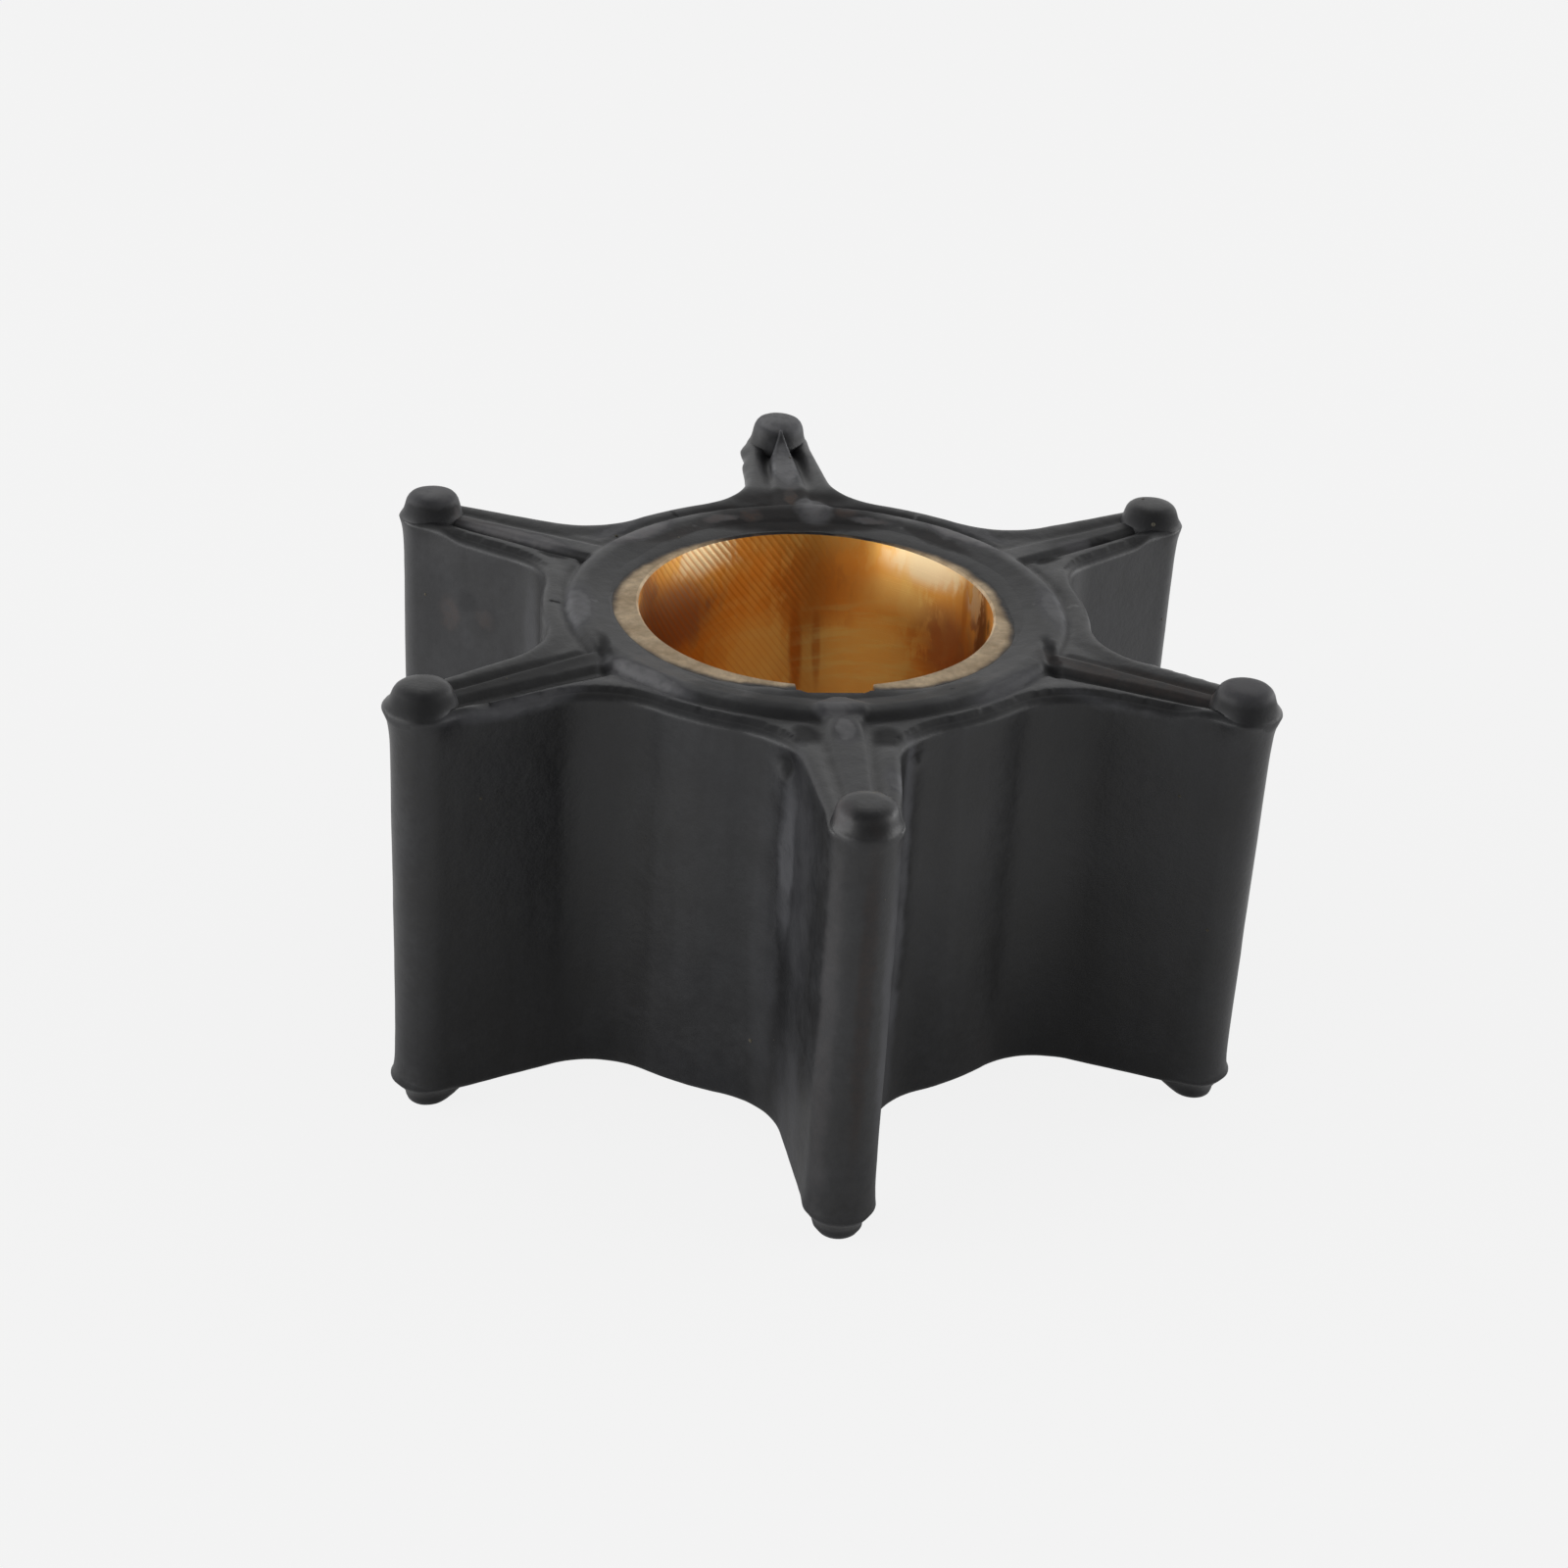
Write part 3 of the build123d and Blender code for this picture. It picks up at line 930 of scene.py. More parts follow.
def strip_faces(first, rows, columns, closed=False):
    """Four-cornered faces of a grid of points laid out row by row."""
    faces = []
    for row in range(rows - 1):
        for column in range(columns if closed else columns - 1):
            following = (column + 1) % columns
            a, b = first + row * columns, first + (row + 1) * columns
            faces.append((a + column, a + following, b + following, b + column))
    return faces


def vane_share(s):
    """One vane with its sixth of the hub and its two nubs, in millimetres."""
    outline, out = vane_outline(s)
    edge, end = s.edge_round / MM, s.body_height / 2 / MM
    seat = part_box("brass_insert")[1].x / MM
    near_end = np.array([0, 0.12, 0.25, 0.38, 0.52, 0.68, 0.86, 1.08, 1.35, 1.7, 2.15, 2.75, 3.5])
    levels = end - edge - near_end
    middle = np.linspace(levels[-1], -levels[-1], 16)[1:-1]
    levels = np.concatenate([levels, middle, -levels[::-1]])
    wall = [np.column_stack([outline, np.full(len(outline), z)]) for z in levels]
    vertices, faces = list(np.concatenate(wall)), strip_faces(0, len(levels), len(outline))
    plan, triangles = end_plan(s, outline, out)
    seat_angle = np.linspace(math.pi / 6, -math.pi / 6, round(seat * math.pi / 3 / (s.grid_size / MM)) + 1)
    seat_plan = seat * np.stack([np.cos(seat_angle), np.sin(seat_angle)], 1)
    flat = []
    for sign, profile, widening in ((1, UPPER_NUB, UPPER_FOOT), (-1, LOWER_NUB, LOWER_FOOT)):
        rings = []
        for angle in np.linspace(0, math.pi / 2, 6):
            ring = outline - edge * (1 - math.cos(angle)) * out
            level = sign * (end - edge * (1 - math.sin(angle)))
            rings.append(np.column_stack([ring, np.full(len(ring), level)]))
        first = len(vertices)
        vertices += list(np.concatenate(rings))
        faces += strip_faces(first, len(rings), len(outline))
        first = len(vertices)
        vertices += list(np.column_stack([plan, np.full(len(plan), sign * end)]))
        faces += [tuple(first + t) for t in triangles]
        flat += range(first, len(vertices))
        centre = CAD_BOX[1].y / MM - NUB_REACH
        first = len(vertices)
        for radius, rise in profile:
            foot = max(0.0, 1 - max(rise, 0.0) / NUB_RISE) ** 2 * widening
            for angle in np.linspace(0, 2 * math.pi, NUB_SIDES, endpoint=False):
                inward = 1 + foot * max(0.0, -math.cos(angle))
                x, y = centre + radius * inward * math.cos(angle), radius * math.sin(angle)
                vertices.append((x, y, sign * (end + rise)))
        faces += strip_faces(first, len(profile), NUB_SIDES, closed=True)
    first = len(vertices)
    seat_end = np.full(len(seat_plan), end)
    vertices += list(np.column_stack([seat_plan, seat_end])) + list(np.column_stack([seat_plan, -seat_end]))
    faces += strip_faces(first, 2, len(seat_plan))
    flat += range(first, len(vertices))
    mesh = bpy.data.meshes.new("vane_share")
    mesh.from_pydata([tuple(map(float, v)) for v in vertices], [], [tuple(map(int, f)) for f in faces])
    on_end = np.zeros(len(vertices))
    on_end[flat] = 1
    set_attribute(mesh, "on_end", on_end)
    return link(bpy.data.objects.new("vane_share", mesh))


def ring_nodes():
    """Turned copies of one share round the bore, joined where they meet."""
    inputs = {"Count": ("Int", 6), "First angle": ("Float", 0.0), "Weld": ("Float", 0.004)}
    tree, given, result = new_geometry_tree("Ring of vanes", inputs)
    places = node(tree, "GeometryNodePoints", {"Count": given["Count"], "Position": (0.0, 0.0, 0.0)})
    index = node(tree, "GeometryNodeInputIndex").outputs[0]
    pitch = math_node(tree, "DIVIDE", 2 * math.pi, given["Count"])
    angle = math_node(tree, "MULTIPLY_ADD", index, pitch, given["First angle"])
    turn = node(tree, "ShaderNodeCombineXYZ", {2: angle})
    copies = node(
        tree,
        "GeometryNodeInstanceOnPoints",
        {"Points": places.outputs[0], "Instance": given["Geometry"], "Rotation": turn.outputs[0]},
    )
    real = node(tree, "GeometryNodeRealizeInstances", {0: copies.outputs[0]})
    inputs = {"Geometry": real.outputs[0], "Distance": given["Weld"]}
    joined = node(tree, "GeometryNodeMergeByDistance", inputs)
    tree.links.new(joined.outputs[0], result["Geometry"])
    return tree


def shape_lips(points, normals, settings):
    """Thin lips that the mould left round the vane tips, a little below each end."""
    along, across, vane = vane_places(points)
    height = np.abs(points[:, 2])
    reach_out = np.hypot(along - TIP_CENTRE, across)
    facing = np.degrees(np.arctan2(np.abs(across), along - TIP_CENTRE))
    near = step(facing, 125, 70) * step(reach_out, 1.2, 1.6)
    reach = np.zeros(len(points))
    for direction, size in LIP_REACH.items():
        reach[vane == direction] = size
    reach = np.where(points[:, 2] > 0, reach, 0.35 * reach + 0.06)
    level = np.where(points[:, 2] > 0, *LIP_LEVELS)
    profile = np.exp(-np.abs(height - level) / np.where(height > level, 0.32, 0.75))
    wall = np.hypot(normals[:, 0], normals[:, 1]) > 0.35
    wave = 1 + 0.15 * bumps(np.radians(facing) * np.sign(across) * 2 + np.radians(vane), 4, 5)
    size = reach * near * profile * wall * wave * settings.lip_share
    size -= 0.30 * step(points[:, 2], -10.7, -11.3) * near * wall
    unit = normals[:, :2] / np.maximum(np.hypot(normals[:, 0], normals[:, 1]), 1e-6)[:, None]
    points[:, :2] += unit * size[:, None]
    return points


def shape_sag(points, normals, on_end, settings):
    """Lowers the upper end towards the edges that face the front, where the moulding is worn down."""
    along, across, vane = vane_places(points)
    turn = np.radians(vane)
    steps = step_to(np.column_stack([along, across]), vane_outline(settings)[0])
    inside = np.where(on_end, np.linalg.norm(steps, axis=1), 0)
    facing = np.where(on_end, steps[:, 0] * np.sin(turn) + steps[:, 1] * np.cos(turn), normals[:, 1])
    facing /= np.where(on_end, inside, np.hypot(normals[:, 0], normals[:, 1])) + 1e-6
    low = step(-facing, 0.1, 0.75) * np.clip(1 - inside / (settings.sag_width / MM), 0, 1) ** 2
    low *= step(points[:, 2], 9.3, 11.0) * step(along, 22.4, 20.6)
    points[:, 2] -= settings.sag_depth / MM * low
    return points


def shape_ends(points, on_end, settings):
    """Relief of both end faces, the seams at the ridges' inner ends, and the flash on two vanes."""
    flat = points[on_end]
    height = end_height(flat, settings)
    along, across, vane = vane_places(flat)
    seam = step(np.abs(np.abs(flat[:, 0]) - 11.6), 0.45, 0.05)
    seam = seam * step(flat[:, 1], -3.9, -4.9) * step(flat[:, 1], -8.9, -8.0)
    height -= settings.seam_depth / MM * seam * (flat[:, 2] > 0)
    half = np.interp(along, FLASH_PLACES, FLASH_HALVES)
    flash = step(np.abs(across), half + 0.22, half - 0.12)
    flash = flash * step(along, 10.95, 11.3) * step(along, 15.8, 14.2)
    height += settings.flash_height / MM * flash * (vane == -90)
    patch = step(np.hypot((flat[:, 0] - 1.05) / 1.0, (flat[:, 1] - 13.0) / 1.4), 1.1, 0.7)
    height += 0.10 * patch * (flat[:, 2] > 0)
    points[on_end, 2] = np.sign(flat[:, 2]) * height
    return points


def shape_flaws(points, normals):
    """Ragged flash on two far edges, and hollows under the edges beside the front vane."""
    along, across, vane = vane_places(points)
    near_edge = np.exp(-((points[:, 2] - 10.75) / 0.70) ** 2) * np.hypot(normals[:, 0], normals[:, 1])
    lumps = sum(np.exp(-((along - where) / width) ** 2) * height for where, width, height in LUMPS)
    lumps += 0.10 * step(along, 17.5, 18.5) * step(along, 23.5, 22.5)
    push = lumps * (vane == 90) * (across > 0)
    flap = step(along, 17.0, 18.0) * step(along, 23.2, 21.5) * (0.26 + 0.10 * np.sin(along * 7.0))
    push += flap * (vane == -30) * (across > 0)
    points += normals * (push * near_edge)[:, None] * (1.0, 1.0, 0.0)
    for centre, size, depth in HOLLOWS:
        far = np.linalg.norm((points - centre) / size, axis=1)
        points -= normals * (depth * step(far, 1.0, 0.0))[:, None]
    return points


def shape_nubs(points, settings):
    """Makes nubs taller where the moulding left more rubber."""
    along, _, vane = vane_places(points)
    end = settings.body_height / 2 / MM
    share = np.clip((np.abs(points[:, 2]) - end) / NUB_RISE, 0, 1) * step(along, 20.0, 21.0)
    extra = np.full(len(points), LOWER_EXTRA)
    for direction, size in NUB_EXTRA.items():
        extra[(points[:, 2] > 0) & (vane == direction)] = size
    points[:, 2] += np.sign(points[:, 2]) * extra * share
    return points


def paint_masks(mesh):
    """Masks for the material: worn edges, painted shade in hollows, on the nubs' sides and on edges that face
    the front, and painted light on the back vanes' root flanks.
    """
    points, normals = points_of(mesh), normals_of(mesh)
    gap = ((averaged(mesh, points, 10) - points) * normals).sum(1)
    worn = np.clip(-gap / 0.05, 0, 1) * (1 - 0.7 * step(points[:, 2], 11.3, 11.5))
    set_attribute(mesh, "edge", averaged(mesh, worn, 2))
    # Painted shade in the hollows
    set_attribute(mesh, "hollow", averaged(mesh, np.clip(gap / 0.04, 0, 1), 2))
    along, _, vane = vane_places(points)
    level = np.hypot(normals[:, 0], normals[:, 1])
    # Painted shade on the nubs' sides that face the front
    nub_side = step(points[:, 2], 11.1, 11.25) * step(level, 0.5, 0.8) * step(-normals[:, 1], 0.0, 0.5)
    spot = step(np.abs(points[:, 0] - 0.15), 1.0, 0.5) * step(points[:, 2], 12.0, 11.7)
    nub_side *= np.where(vane == -90, 0.85 * spot, 0.9)
    nub_side *= np.select([vane == 90, vane == -30, vane == 210], [0.3, 0.75, 0.85], 1.0)
    # Painted shade on edges that face the front
    front_edge = step(level, 0.35, 0.6) * step(level, 0.97, 0.85) * step(-normals[:, 1], 0.0, 0.4)
    front_edge *= step(points[:, 2], 10.2, 10.6) * step(points[:, 2], 11.25, 11.1)
    set_attribute(mesh, "painted_shade", averaged(mesh, np.maximum(0.8 * nub_side, 0.3 * front_edge), 3))
    # Painted light on the back vanes' root flanks that face the front
    flank = step(level, 0.8, 0.95) * step(along, 15.0, 17.0) * (points[:, 1] > 0) * (normals[:, 1] < 0)
    set_attribute(mesh, "pale", averaged(mesh, 0.15 * flank * np.isin(vane, (30, 150)), 4))


def rubber_skin(settings):
    """The moulding with soft edges, lips, notches and an uneven skin, in place of the plain solid."""
    share = vane_share(settings)
    ring = with_geometry_nodes(share, ring_nodes(), {"Count": 6, "First angle": -math.pi / 2}, "rubber_ring")
    shell = bmesh.new()
    shell.from_mesh(ring)
    bmesh.ops.recalc_face_normals(shell, faces=shell.faces)
    shell.to_mesh(ring)
    shell.free()
    points, normals = points_of(ring), normals_of(ring)
    on_end = np.zeros(len(points))
    ring.attributes["on_end"].data.foreach_get("value", on_end)
    points = shape_lips(points, normals, settings)
    points = shape_flaws(points, normals)
    points = shape_ends(points, on_end > 0.5, settings)
    points = shape_sag(points, normals, on_end > 0.5, settings)
    points = shape_nubs(points, settings)
    set_points(ring, points)
    work = link(bpy.data.objects.new("rubber_work", ring))
    values = {
        "Wave size": settings.wave_size / MM,
        "Wave height": settings.wave_height / MM,
        "Ripple size": settings.ripple_size / MM,
        "Ripple height": settings.ripple_height / MM,
        "Seed": 2.0,
        "Material": rubber_material(settings),
    }
    final = with_geometry_nodes(work, unevenness_nodes(), values, "rubber_skin")
    paint_masks(final)
    final.transform(Matrix.Scale(MM, 4))
    final.shade_smooth()
    for used in (share, work):
        bpy.data.objects.remove(used)
    return link(bpy.data.objects.new("rubber_skin", final))


# The brass insert

def insert_profile(settings):
    """Plan points of the bore, with the keyway, and how far each may be pushed out for the chamfer."""
    bore = settings.bore_diameter / 2 / MM
    half = settings.keyway_width / 2 / MM
    floor = bore + settings.keyway_depth / MM
    edge = math.asin(half / bore)
    corner = bore * math.cos(edge)
    start, stop = -math.pi / 2 + edge, 1.5 * math.pi - edge
    count = settings.bore_segments
    angles = [start + (stop - start) * i / count for i in range(count + 1)]
    wall = [(bore * math.cos(a), bore * math.sin(a), 1.0) for a in angles]
    steps = 4
    left = [(-half, -corner + (corner - floor) * i / steps, 0.0) for i in range(1, steps)]
    foot = [(-half + 2 * half * i / steps, -floor, 0.0) for i in range(steps + 1)]
    right = [(half, -floor + (floor - corner) * i / steps, 0.0) for i in range(1, steps)]
    return wall + left + foot + right


def brass_mesh(settings):
    """Sleeve with a turned bore, chamfered edges, a keyway and a bore worn a little wider behind at both
    ends, in millimetres.
    """
    outline = insert_profile(settings)
    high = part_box("brass_insert")[1]
    half, outer = high.z / MM, high.x / MM
    chamfer = settings.bore_chamfer / MM
    sleeve = bmesh.new()
    rings = []
    for share, push in [(-1, 1), (-1, 0)] + [(-0.88 + i * 0.16, 0) for i in range(12)] + [(1, 0), (1, 1)]:
        ring = []
        for x, y, round_part in outline:
            far = math.hypot(x, y)
            flare = settings.bore_flare / MM * max(0.0, y / far) ** 3 * (abs(share) == 1)
            grow = 1 + (push * chamfer + flare) * round_part / far
            ring.append(sleeve.verts.new((x * grow, y * grow, share * (half - (1 - push) * chamfer))))
        rings.append(ring)
    outer_rings = []
    for z in (-half, half):
        ring = []
        for x, y, _ in outline:
            angle = math.atan2(y, x)
            ring.append(sleeve.verts.new((outer * math.cos(angle), outer * math.sin(angle), z)))
        outer_rings.append(ring)
    count = len(outline)

    def band(first, second, material):
        for i in range(count):
            j = (i + 1) % count
            face = sleeve.faces.new((first[i], first[j], second[j], second[i]))
            face.material_index = material
            face.smooth = True

    for k in range(len(rings) - 1):
        band(rings[k], rings[k + 1], 0)
    band(rings[-1], outer_rings[1], 1)
    band(outer_rings[1], outer_rings[0], 1)
    band(outer_rings[0], rings[0], 1)
    for face in sleeve.faces:
        if abs(face.calc_center_median().z) > half - 1.01 * chamfer:
            face.material_index = 1
    bmesh.ops.recalc_face_normals(sleeve, faces=sleeve.faces)
    mesh = mesh_from(sleeve, "brass_sleeve")
    mesh.set_sharp_from_angle(angle=math.radians(25))
    return mesh


def smear_mesh(settings):
    """Ragged film of rubber that ran over the outer edge of the insert's end faces, in millimetres."""
    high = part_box("brass_insert")[1]
    half, outer = high.z / MM, high.x / MM
    film = bmesh.new()
    count = 360
    turns = np.arange(count) * 2 * math.pi / count - math.pi
    known = np.arange(len(FILM_EDGE) + 1) * math.pi / 6 - math.pi
    reach = np.interp(turns, known, FILM_EDGE + FILM_EDGE[:1])
    reach = np.clip(reach + bumps(turns, 11, 40) * 0.10, settings.bore_diameter / 2 / MM + 0.12, outer + 0.1)
    aside = np.abs(outer * np.cos(turns)) / (settings.keyway_width / 2 / MM)
    past_key = (settings.bore_diameter / 2 + settings.keyway_depth) / MM + 0.2 - 0.45 * aside**4
    reach = np.where((aside < 1.1) & (turns < 0), np.maximum(reach, past_key), reach)
    for end in (-1, 1):
        rings = []
        for share, rise in FILM_RISE:
            ring = []
            for angle, edge in zip(turns, reach):
                radius = outer + 0.5 - (outer + 0.5 - edge) * share
                x, y = radius * math.cos(angle), radius * math.sin(angle)
                ring.append(film.verts.new((x, y, end * (half + rise))))
            rings.append(ring)
        for k in range(len(rings) - 1):
            for i in range(count):
                j = (i + 1) % count
                loop = (rings[k][i], rings[k][j], rings[k + 1][j], rings[k + 1][i])
                film.faces.new(loop if end > 0 else loop[::-1]).smooth = True
    bmesh.ops.recalc_face_normals(film, faces=film.faces)
    return mesh_from(film, "bond_film")


# Settings

def number(name, text, default, **more):
    return bpy.props.FloatProperty(name=name, description=text, default=default, **more)


def length(name, text, default):
    return number(name, text, default, subtype="DISTANCE", unit="LENGTH", precision=5)


def degrees(name, text, default):
    return number(name, text, math.radians(default), subtype="ANGLE")


def colour(name, text, default):
    return bpy.props.FloatVectorProperty(
        name=name, description=text, default=default, subtype="COLOR", size=4, min=0, max=1)


class RubberSettings(bpy.types.PropertyGroup):
    grid_size: length("Grid size", "Spacing of the points on the end faces", 0.17 * MM)
    hub_diameter: length("Hub", "Diameter of the hub", 29.4 * MM)
    vane_root_width: length("Vane root", "Width of a vane where it leaves the hub", 5.5 * MM)
    vane_tip_width: length("Vane tip", "Width of a vane's round tip", 3.5 * MM)
    root_fillet: length("Root fillet", "Radius between vane and hub", 4.6 * MM)
    body_height: length("Height", "Height between the ends, without the nubs", 22.3 * MM)
    edge_round: length("Edge round", "Radius of the outline's edges", 0.42 * MM)
    rim_diameter: length("Rim", "Diameter of the rim round the insert", 26.0 * MM)
    rim_spread: length("Rim spread", "How far the rim's rounded foot reaches past its diameter", 0.30 * MM)
    rim_rise: length("Rim rise", "Height of the rim's crest above the ridges", 0.15 * MM)
    rim_fall: length("Rim fall", "How far the rim's top falls from its crest to the insert", 0.30 * MM)
    rim_drop: length("Rim drop", "How far the rim's rounded edge falls to its foot", 0.36 * MM)
    # Painted shade on the rim's inner part
    rim_shade: number("Rim shade", "How matt and dark the rim's inner part is", 0.12)
    sag_width: length("Sag width", "Width of the worn strip along the edges that face the front", 1.45 * MM)
    sag_depth: length("Sag depth", "How far the worn edges are lowered", 0.32 * MM)
    seam_depth: length("Seam depth", "Depth of the seam between a ridge and the rim", 0.12 * MM)
    flash_height: length("Flash height", "Height of the flash over the rim at the front vane", 0.14 * MM)
    lip_share: number("Moulding lip", "Share of the full moulding lip at the tips", 1.0)
    wave_size: length("Wave size", "Size of the skin's slow waves", 5.0 * MM)
    wave_height: length("Wave height", "Height of the skin's slow waves", 0.05 * MM)
    ripple_size: length("Ripple size", "Size of the skin's short ripples", 1.1 * MM)
    ripple_height: length("Ripple height", "Height of the skin's short ripples", 0.02 * MM)
    deep_colour: colour("Deep colour", "Darkest tone of the rubber", (0.0040, 0.0040, 0.0043, 1.0))
    mid_colour: colour("Middle colour", "Common tone of the rubber", (0.0135, 0.0143, 0.0180, 1.0))
    warm_colour: colour("Warm colour", "Tone of the faint warm patches", (0.0125, 0.0108, 0.0098, 1.0))
    worn_colour: colour("Worn colour", "Tone of rubbed edges and scuffs", (0.050, 0.051, 0.054, 1.0))
    # The pale and chalk tones paint bleached rubber and highlights alike
    pale_colour: colour("Pale colour", "Tone of the bloom on the rubber", (0.085, 0.086, 0.094, 1.0))
    chalk_and_highlight_colour: colour("Chalk colour", "Tone of the most bleached rubber", (0.30, 0.30, 0.31, 1.0))
    brown_colour: colour("Brown colour", "Tone of the brown stains", (0.075, 0.042, 0.028, 1.0))
    mark_wander: length("Mark wander", "How far the marks' edges wander", 0.7 * MM)
    sheen_level: number("Sheen", "Strength of the rubber's reflections", 0.45)


class BrassSettings(bpy.types.PropertyGroup):
    bore_diameter: length("Bore", "Diameter of the bore", 19.0 * MM)
    keyway_width: length("Keyway width", "Width of the keyway", 4.0 * MM)
    keyway_depth: length("Keyway depth", "Depth of the keyway below the bore", 0.9 * MM)
    bore_chamfer: length("Bore chamfer", "Chamfer at both ends of the bore", 0.12 * MM)
    bore_flare: length("Bore flare", "How far the bore is worn wider behind, at both ends", 0.32 * MM)
    bore_segments: bpy.props.IntProperty(name="Segments", description="Flats round the bore", default=320)
    # Painted highlight colour on the bore's upper wall
    bore_highlight_colour: colour("Bore colour", "Colour of the cleanest turned brass", (0.97, 0.80, 0.48, 1.0))
    deep_bore_colour: colour("Deep bore colour", "Common colour of the turned brass", (0.97, 0.53, 0.12, 1.0))
    # Tone of the bright strokes, and of the painted highlight patches
    gold_colour: colour("Gold colour", "Colour of the bright rings and strokes", (1.0, 0.76, 0.26, 1.0))
    glint_colour: colour("Glint colour", "Colour of the bore's fine bright lines", (1.0, 0.92, 0.38, 1.0))
    # Tarnish, and the painted reflections and shade on the far wall
    tarnish_and_reflection_colour: colour("Stain colour", "Colour of the tarnish in the bore", (0.66, 0.25, 0.045, 1.0))
    # Painted shade on the bore's sides
    brown_colour: colour("Brown colour", "Colour of the bore's duller sides", (0.50, 0.275, 0.135, 1.0))
    # The keyway's broached finish with painted shade, and painted shade on the wall
    keyway_and_shade_colour: colour("Keyway colour", "Colour of the broached keyway", (0.26, 0.11, 0.035, 1.0))
    end_colour: colour("End colour", "Colour of the dull end faces", (1.0, 0.80, 0.54, 1.0))
    end_stain_colour: colour("End stain", "Colour of the stains on the end faces", (0.52, 0.37, 0.21, 1.0))


class DustSettings(bpy.types.PropertyGroup):
    density: number("Density", "Specks on each square millimetre", 0.012)
    largest: length("Largest", "Radius of the largest speck", 0.13 * MM)
    seed: bpy.props.IntProperty(name="Seed", description="Changes where the specks lie", default=7)
    dust_colour: colour("Dust colour", "Colour of the specks", (0.17, 0.155, 0.125, 1.0))


class StageSettings(bpy.types.PropertyGroup):
    distance: length("Camera distance", "From the bore's centre to the camera", 156.93 * MM)
    elevation: degrees("Elevation", "How steeply the camera looks down", 28.319)
    azimuth: degrees("Azimuth", "Camera's turn from -Y, seen from above", -6.5875)
    roll: degrees("Roll", "Camera's roll", 3.241)
    slide_across: length("Slide across", "Camera's shift to the right", -1.179 * MM)
    slide_up: length("Slide up", "Camera's shift upwards", 0.058 * MM)
    focal_length: number("Focal length", "Lens, for a 36 mm wide sensor", 65.13, subtype="DISTANCE_CAMERA")
    surround_light: number("Surround light", "Strength of the light from all round", 0.42)
    floor_whiteness: number("Floor whiteness", "Share of the floor that is white to the camera", 0.86)
    floor_reflected: number("Floor in reflections", "Share of the floor that reflections see white", 0.72)
    # Painted shadow on the floor as reflections see it
    floor_near: number("Floor beside the part", "How much of that share is left close to the part", 0.25)
    front_share: number("Front light", "Strength of the surround on the camera's side", 0.3)
    back_share: number("Back light", "Strength of the surround behind the part", 0.92)
    overhead_share: number("Overhead light", "Strength of the surround overhead", 0.36)


# Operators

class IMPELLER_OT_rubber(bpy.types.Operator):
    """Makes the moulded rubber body's detailed skin"""

    bl_idname = "impeller.rubber"
    bl_label = "Rubber body"

    def execute(self, context):
        skin = rubber_skin(context.scene.impeller_rubber)
        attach(skin, BODY)
        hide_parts("rubber_body")
        return {"FINISHED"}


class IMPELLER_OT_brass(bpy.types.Operator):
    """Makes the brass insert with its turned bore and keyway"""

    bl_idname = "impeller.brass"
    bl_label = "Brass insert"

    def execute(self, context):
        settings = context.scene.impeller_brass
        mesh = brass_mesh(settings)
        mesh.materials.append(bore_material(settings))
        mesh.materials.append(end_face_material(settings))
        mesh.transform(Matrix.Scale(MM, 4))
        sleeve = link(bpy.data.objects.new("brass_sleeve", mesh))
        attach(sleeve, BODY)
        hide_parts("brass_insert")
        return {"FINISHED"}


class IMPELLER_OT_film(bpy.types.Operator):
    """Lays the ragged rubber film over the edge of the insert's end faces"""

    bl_idname = "impeller.film"
    bl_label = "Rubber film"

    def execute(self, context):
        mesh = smear_mesh(context.scene.impeller_brass)
        mesh.materials.append(bpy.data.materials["Moulded rubber"])
        mesh.transform(Matrix.Scale(MM, 4))
        film = link(bpy.data.objects.new("rubber_film", mesh))
        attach(film, BODY)
        return {"FINISHED"}


class IMPELLER_OT_dust(bpy.types.Operator):
    """Scatters pale dust specks over the rubber"""

    bl_idname = "impeller.dust"
    bl_label = "Dust"

    def execute(self, context):
        settings = context.scene.impeller_dust
        base = bpy.data.objects["rubber_skin"].data.copy()
        base.transform(Matrix.Scale(1 / MM, 4))
        work = link(bpy.data.objects.new("dust_work", base))
        values = {
            "Density": settings.density,
            "Largest": settings.largest / MM,
            "Seed": settings.seed,
            "Material": dust_material(settings),
        }
        mesh = with_geometry_nodes(work, speck_nodes(), values, "dust_specks")
        bpy.data.objects.remove(work)
        mesh.transform(Matrix.Scale(MM, 4))
        mesh.shade_smooth()
        specks = link(bpy.data.objects.new("dust_specks", mesh))
        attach(specks, BODY)
        return {"FINISHED"}


class IMPELLER_OT_stage(bpy.types.Operator):
    """Sets the floor, the light and the camera"""

    bl_idname = "impeller.stage"
    bl_label = "Studio"

    def execute(self, context):
        settings = context.scene.impeller_stage
        lay_floor(settings)
        light_world(settings)
        hang_lamps()
        place_camera(settings)
        context.scene.view_settings.view_transform = "Standard"
        return {"FINISHED"}


def lay_floor(settings):
    floor = bmesh.new()
    bmesh.ops.create_grid(floor, x_segments=8, y_segments=8, size=3.0)
    mesh = mesh_from(floor, "studio_floor")
    mesh.materials.append(floor_material(settings))
    obj = link(bpy.data.objects.new("studio_floor", mesh))
    obj.location.z = CAD_BOX[0][2] - LOWER_EXTRA * MM


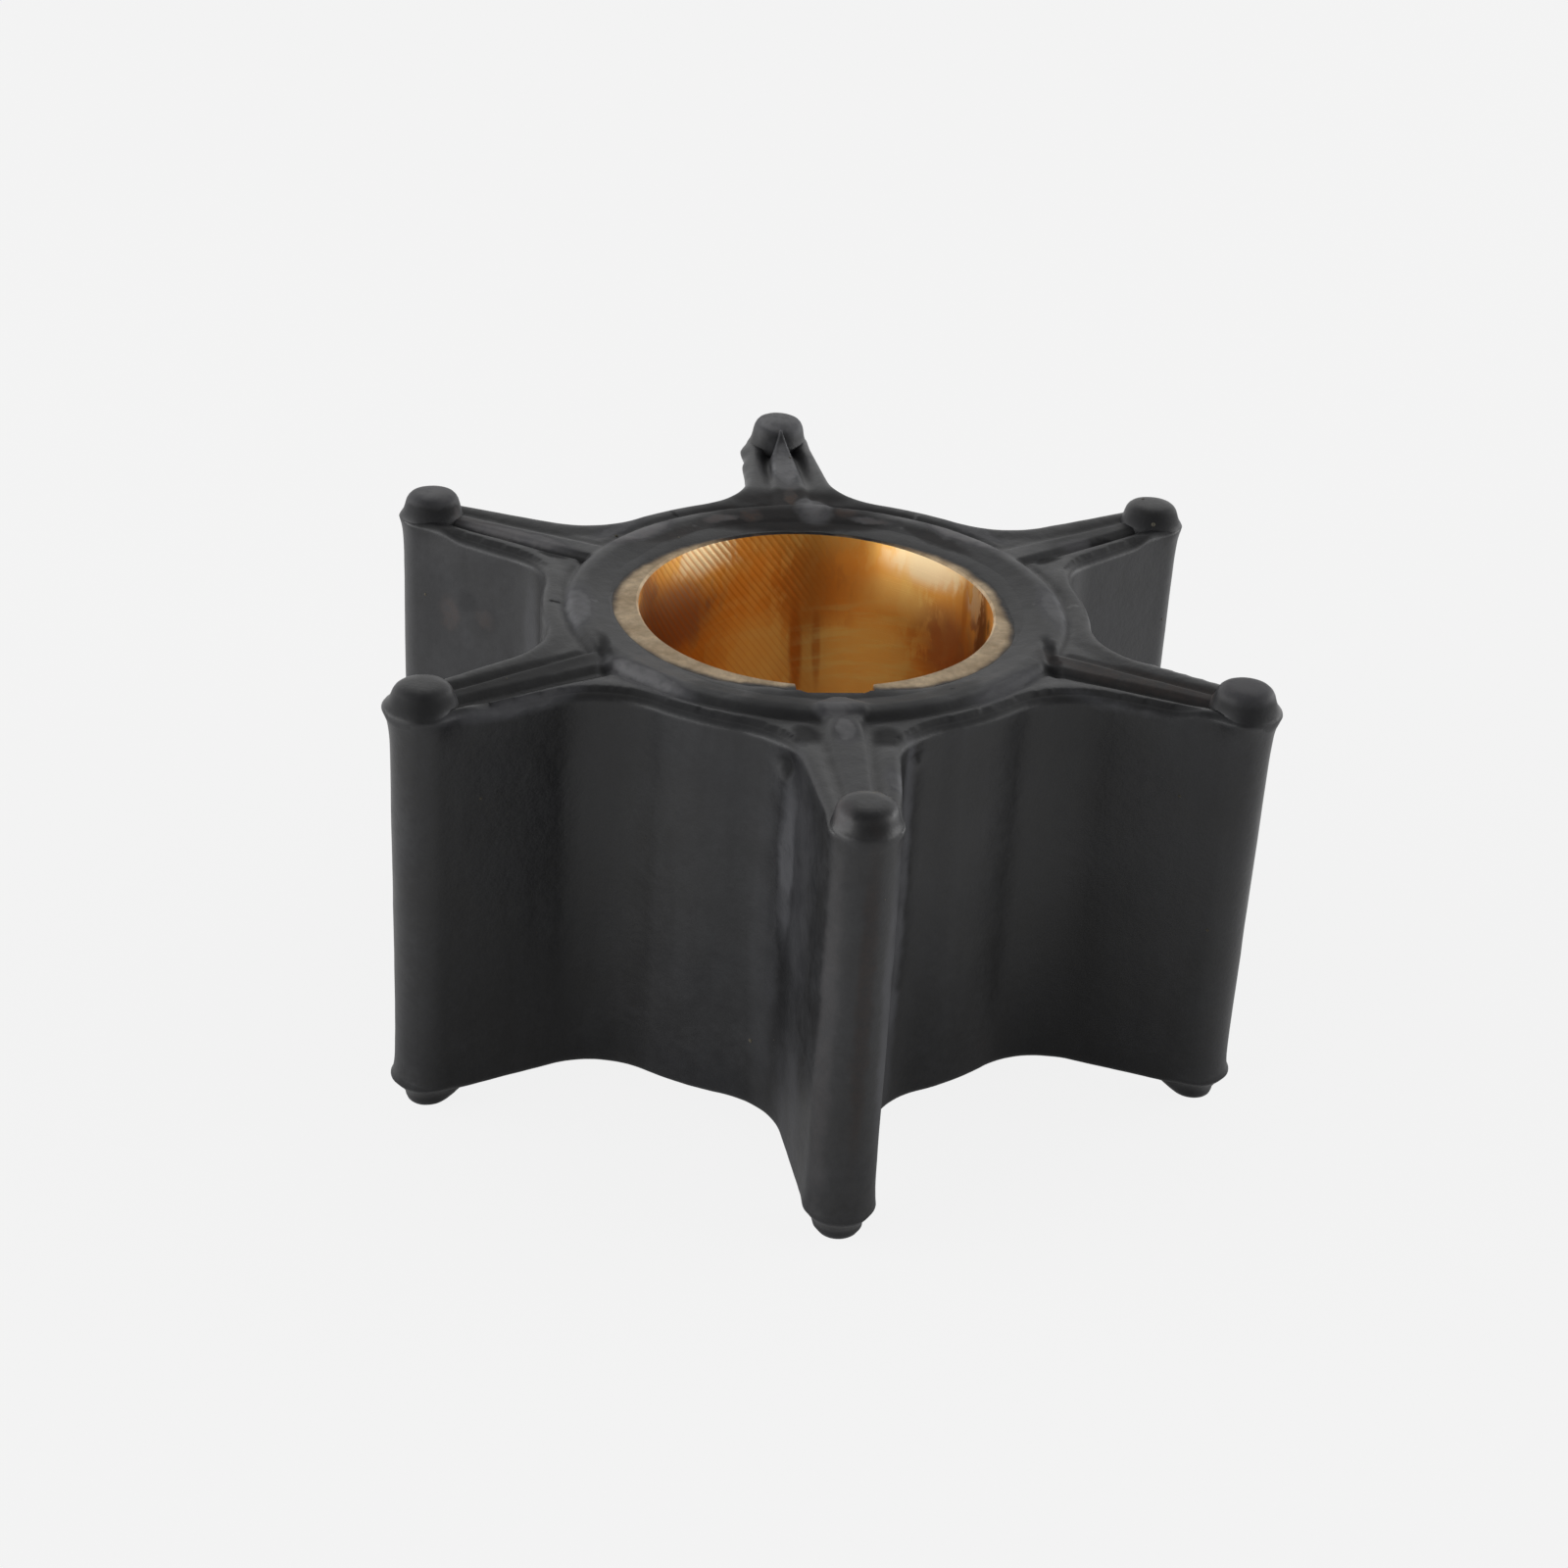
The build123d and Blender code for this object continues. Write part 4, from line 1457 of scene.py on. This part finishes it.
def light_world(settings):
    """A white surround, brightest behind the part, and plain white where the camera sees it."""
    world = bpy.data.worlds.new("White surround")
    bpy.context.scene.world = world
    world.use_nodes = True
    tree = world.node_tree
    tree.nodes.clear()
    paths = node(tree, "ShaderNodeLightPath").outputs
    direct = math_node(tree, "MAXIMUM", paths["Is Camera Ray"], paths["Is Transmission Ray"])
    seen = math_node(tree, "MAXIMUM", direct, paths["Is Glossy Ray"])
    towards = node(tree, "ShaderNodeTexCoord").outputs["Generated"]
    axis = node(tree, "ShaderNodeSeparateXYZ", {0: towards}).outputs
    room = spread(tree, axis[1], -0.7, 0.2, settings.front_share, settings.back_share)
    room = times(tree, room, spread(tree, axis[2], 0.95, 0.5, settings.overhead_share, 1.0))
    room = mix_value(tree, direct, room, 1.0)
    strength = times(tree, mix_value(tree, seen, settings.surround_light, 1.0), room)
    sky = node(tree, "ShaderNodeBackground", {"Color": (1.0, 1.0, 1.0, 1.0), "Strength": strength})
    node(tree, "ShaderNodeOutputWorld", {"Surface": sky.outputs[0]})


def hang_lamps():
    """Low wide soft boxes to the left and to the right."""
    boxes = {
        "left_box": ((-0.49, -0.08, 0.075), (0.70, 0.13), 1.6),
        "right_box": ((0.50, 0.05, 0.075), (0.70, 0.13), 1.2),
    }
    for name, (where, size, power) in boxes.items():
        lamp = bpy.data.lights.new(name, "AREA")
        lamp.shape = "RECTANGLE"
        lamp.size, lamp.size_y = size
        lamp.energy = power
        obj = link(bpy.data.objects.new(name, lamp))
        obj.location = where
        obj.rotation_euler = (-Vector(where)).to_track_quat("-Z", "Y").to_euler()


def place_camera(settings):
    """The photograph's view: above and in front, a little rolled."""
    tilt, roll = settings.elevation, settings.roll
    back = Vector((0, -math.cos(tilt), math.sin(tilt)))
    across = Vector((1, 0, 0))
    up = across.cross(-back)
    where = back * settings.distance + across * settings.slide_across + up * settings.slide_up
    right = across * math.cos(roll) + up * math.sin(roll)
    upward = up * math.cos(roll) - across * math.sin(roll)
    matrix = Matrix((right, upward, back)).transposed().to_4x4()
    matrix.translation = where
    camera = bpy.data.cameras.new("photo_camera")
    camera.sensor_width = 36
    camera.lens = settings.focal_length
    camera.clip_start = 0.005
    camera.clip_end = 20
    obj = link(bpy.data.objects.new("photo_camera", camera))
    obj.matrix_world = Matrix.Rotation(settings.azimuth, 4, "Z") @ matrix
    bpy.context.scene.camera = obj


class IMPELLER_PT_panel(bpy.types.Panel):
    """Lists the impeller's pieces and their sizes"""

    bl_idname = "IMPELLER_PT_panel"
    bl_label = "Pump impeller"
    bl_space_type = "VIEW_3D"
    bl_region_type = "UI"
    bl_category = "Impeller"

    def draw(self, context):
        shown = set()
        for operator, group in PIECES:
            box = self.layout.box()
            box.operator(operator.bl_idname)
            settings = getattr(context.scene, group)
            for name in settings.bl_rna.properties.keys():
                if name not in ("rna_type", "name") and (group, name) not in shown:
                    box.prop(settings, name)
                    shown.add((group, name))


PIECES = (
    (IMPELLER_OT_rubber, "impeller_rubber"),
    (IMPELLER_OT_brass, "impeller_brass"),
    (IMPELLER_OT_film, "impeller_brass"),
    (IMPELLER_OT_dust, "impeller_dust"),
    (IMPELLER_OT_stage, "impeller_stage"),
)
SETTINGS = {
    "impeller_rubber": RubberSettings,
    "impeller_brass": BrassSettings,
    "impeller_dust": DustSettings,
    "impeller_stage": StageSettings,
}


def register():
    for name, group in SETTINGS.items():
        bpy.utils.register_class(group)
        setattr(bpy.types.Scene, name, bpy.props.PointerProperty(type=group))
    for operator, _ in PIECES:
        bpy.utils.register_class(operator)
    bpy.utils.register_class(IMPELLER_PT_panel)


def unregister():
    bpy.utils.unregister_class(IMPELLER_PT_panel)
    for operator, _ in reversed(PIECES):
        bpy.utils.unregister_class(operator)
    for name, group in reversed(SETTINGS.items()):
        delattr(bpy.types.Scene, name)
        bpy.utils.unregister_class(group)


def main():
    register()
    bpy.ops.impeller.rubber()
    bpy.ops.impeller.brass()
    bpy.ops.impeller.film()
    bpy.ops.impeller.dust()
    bpy.ops.impeller.stage()


if __name__ == "__main__":
    main()
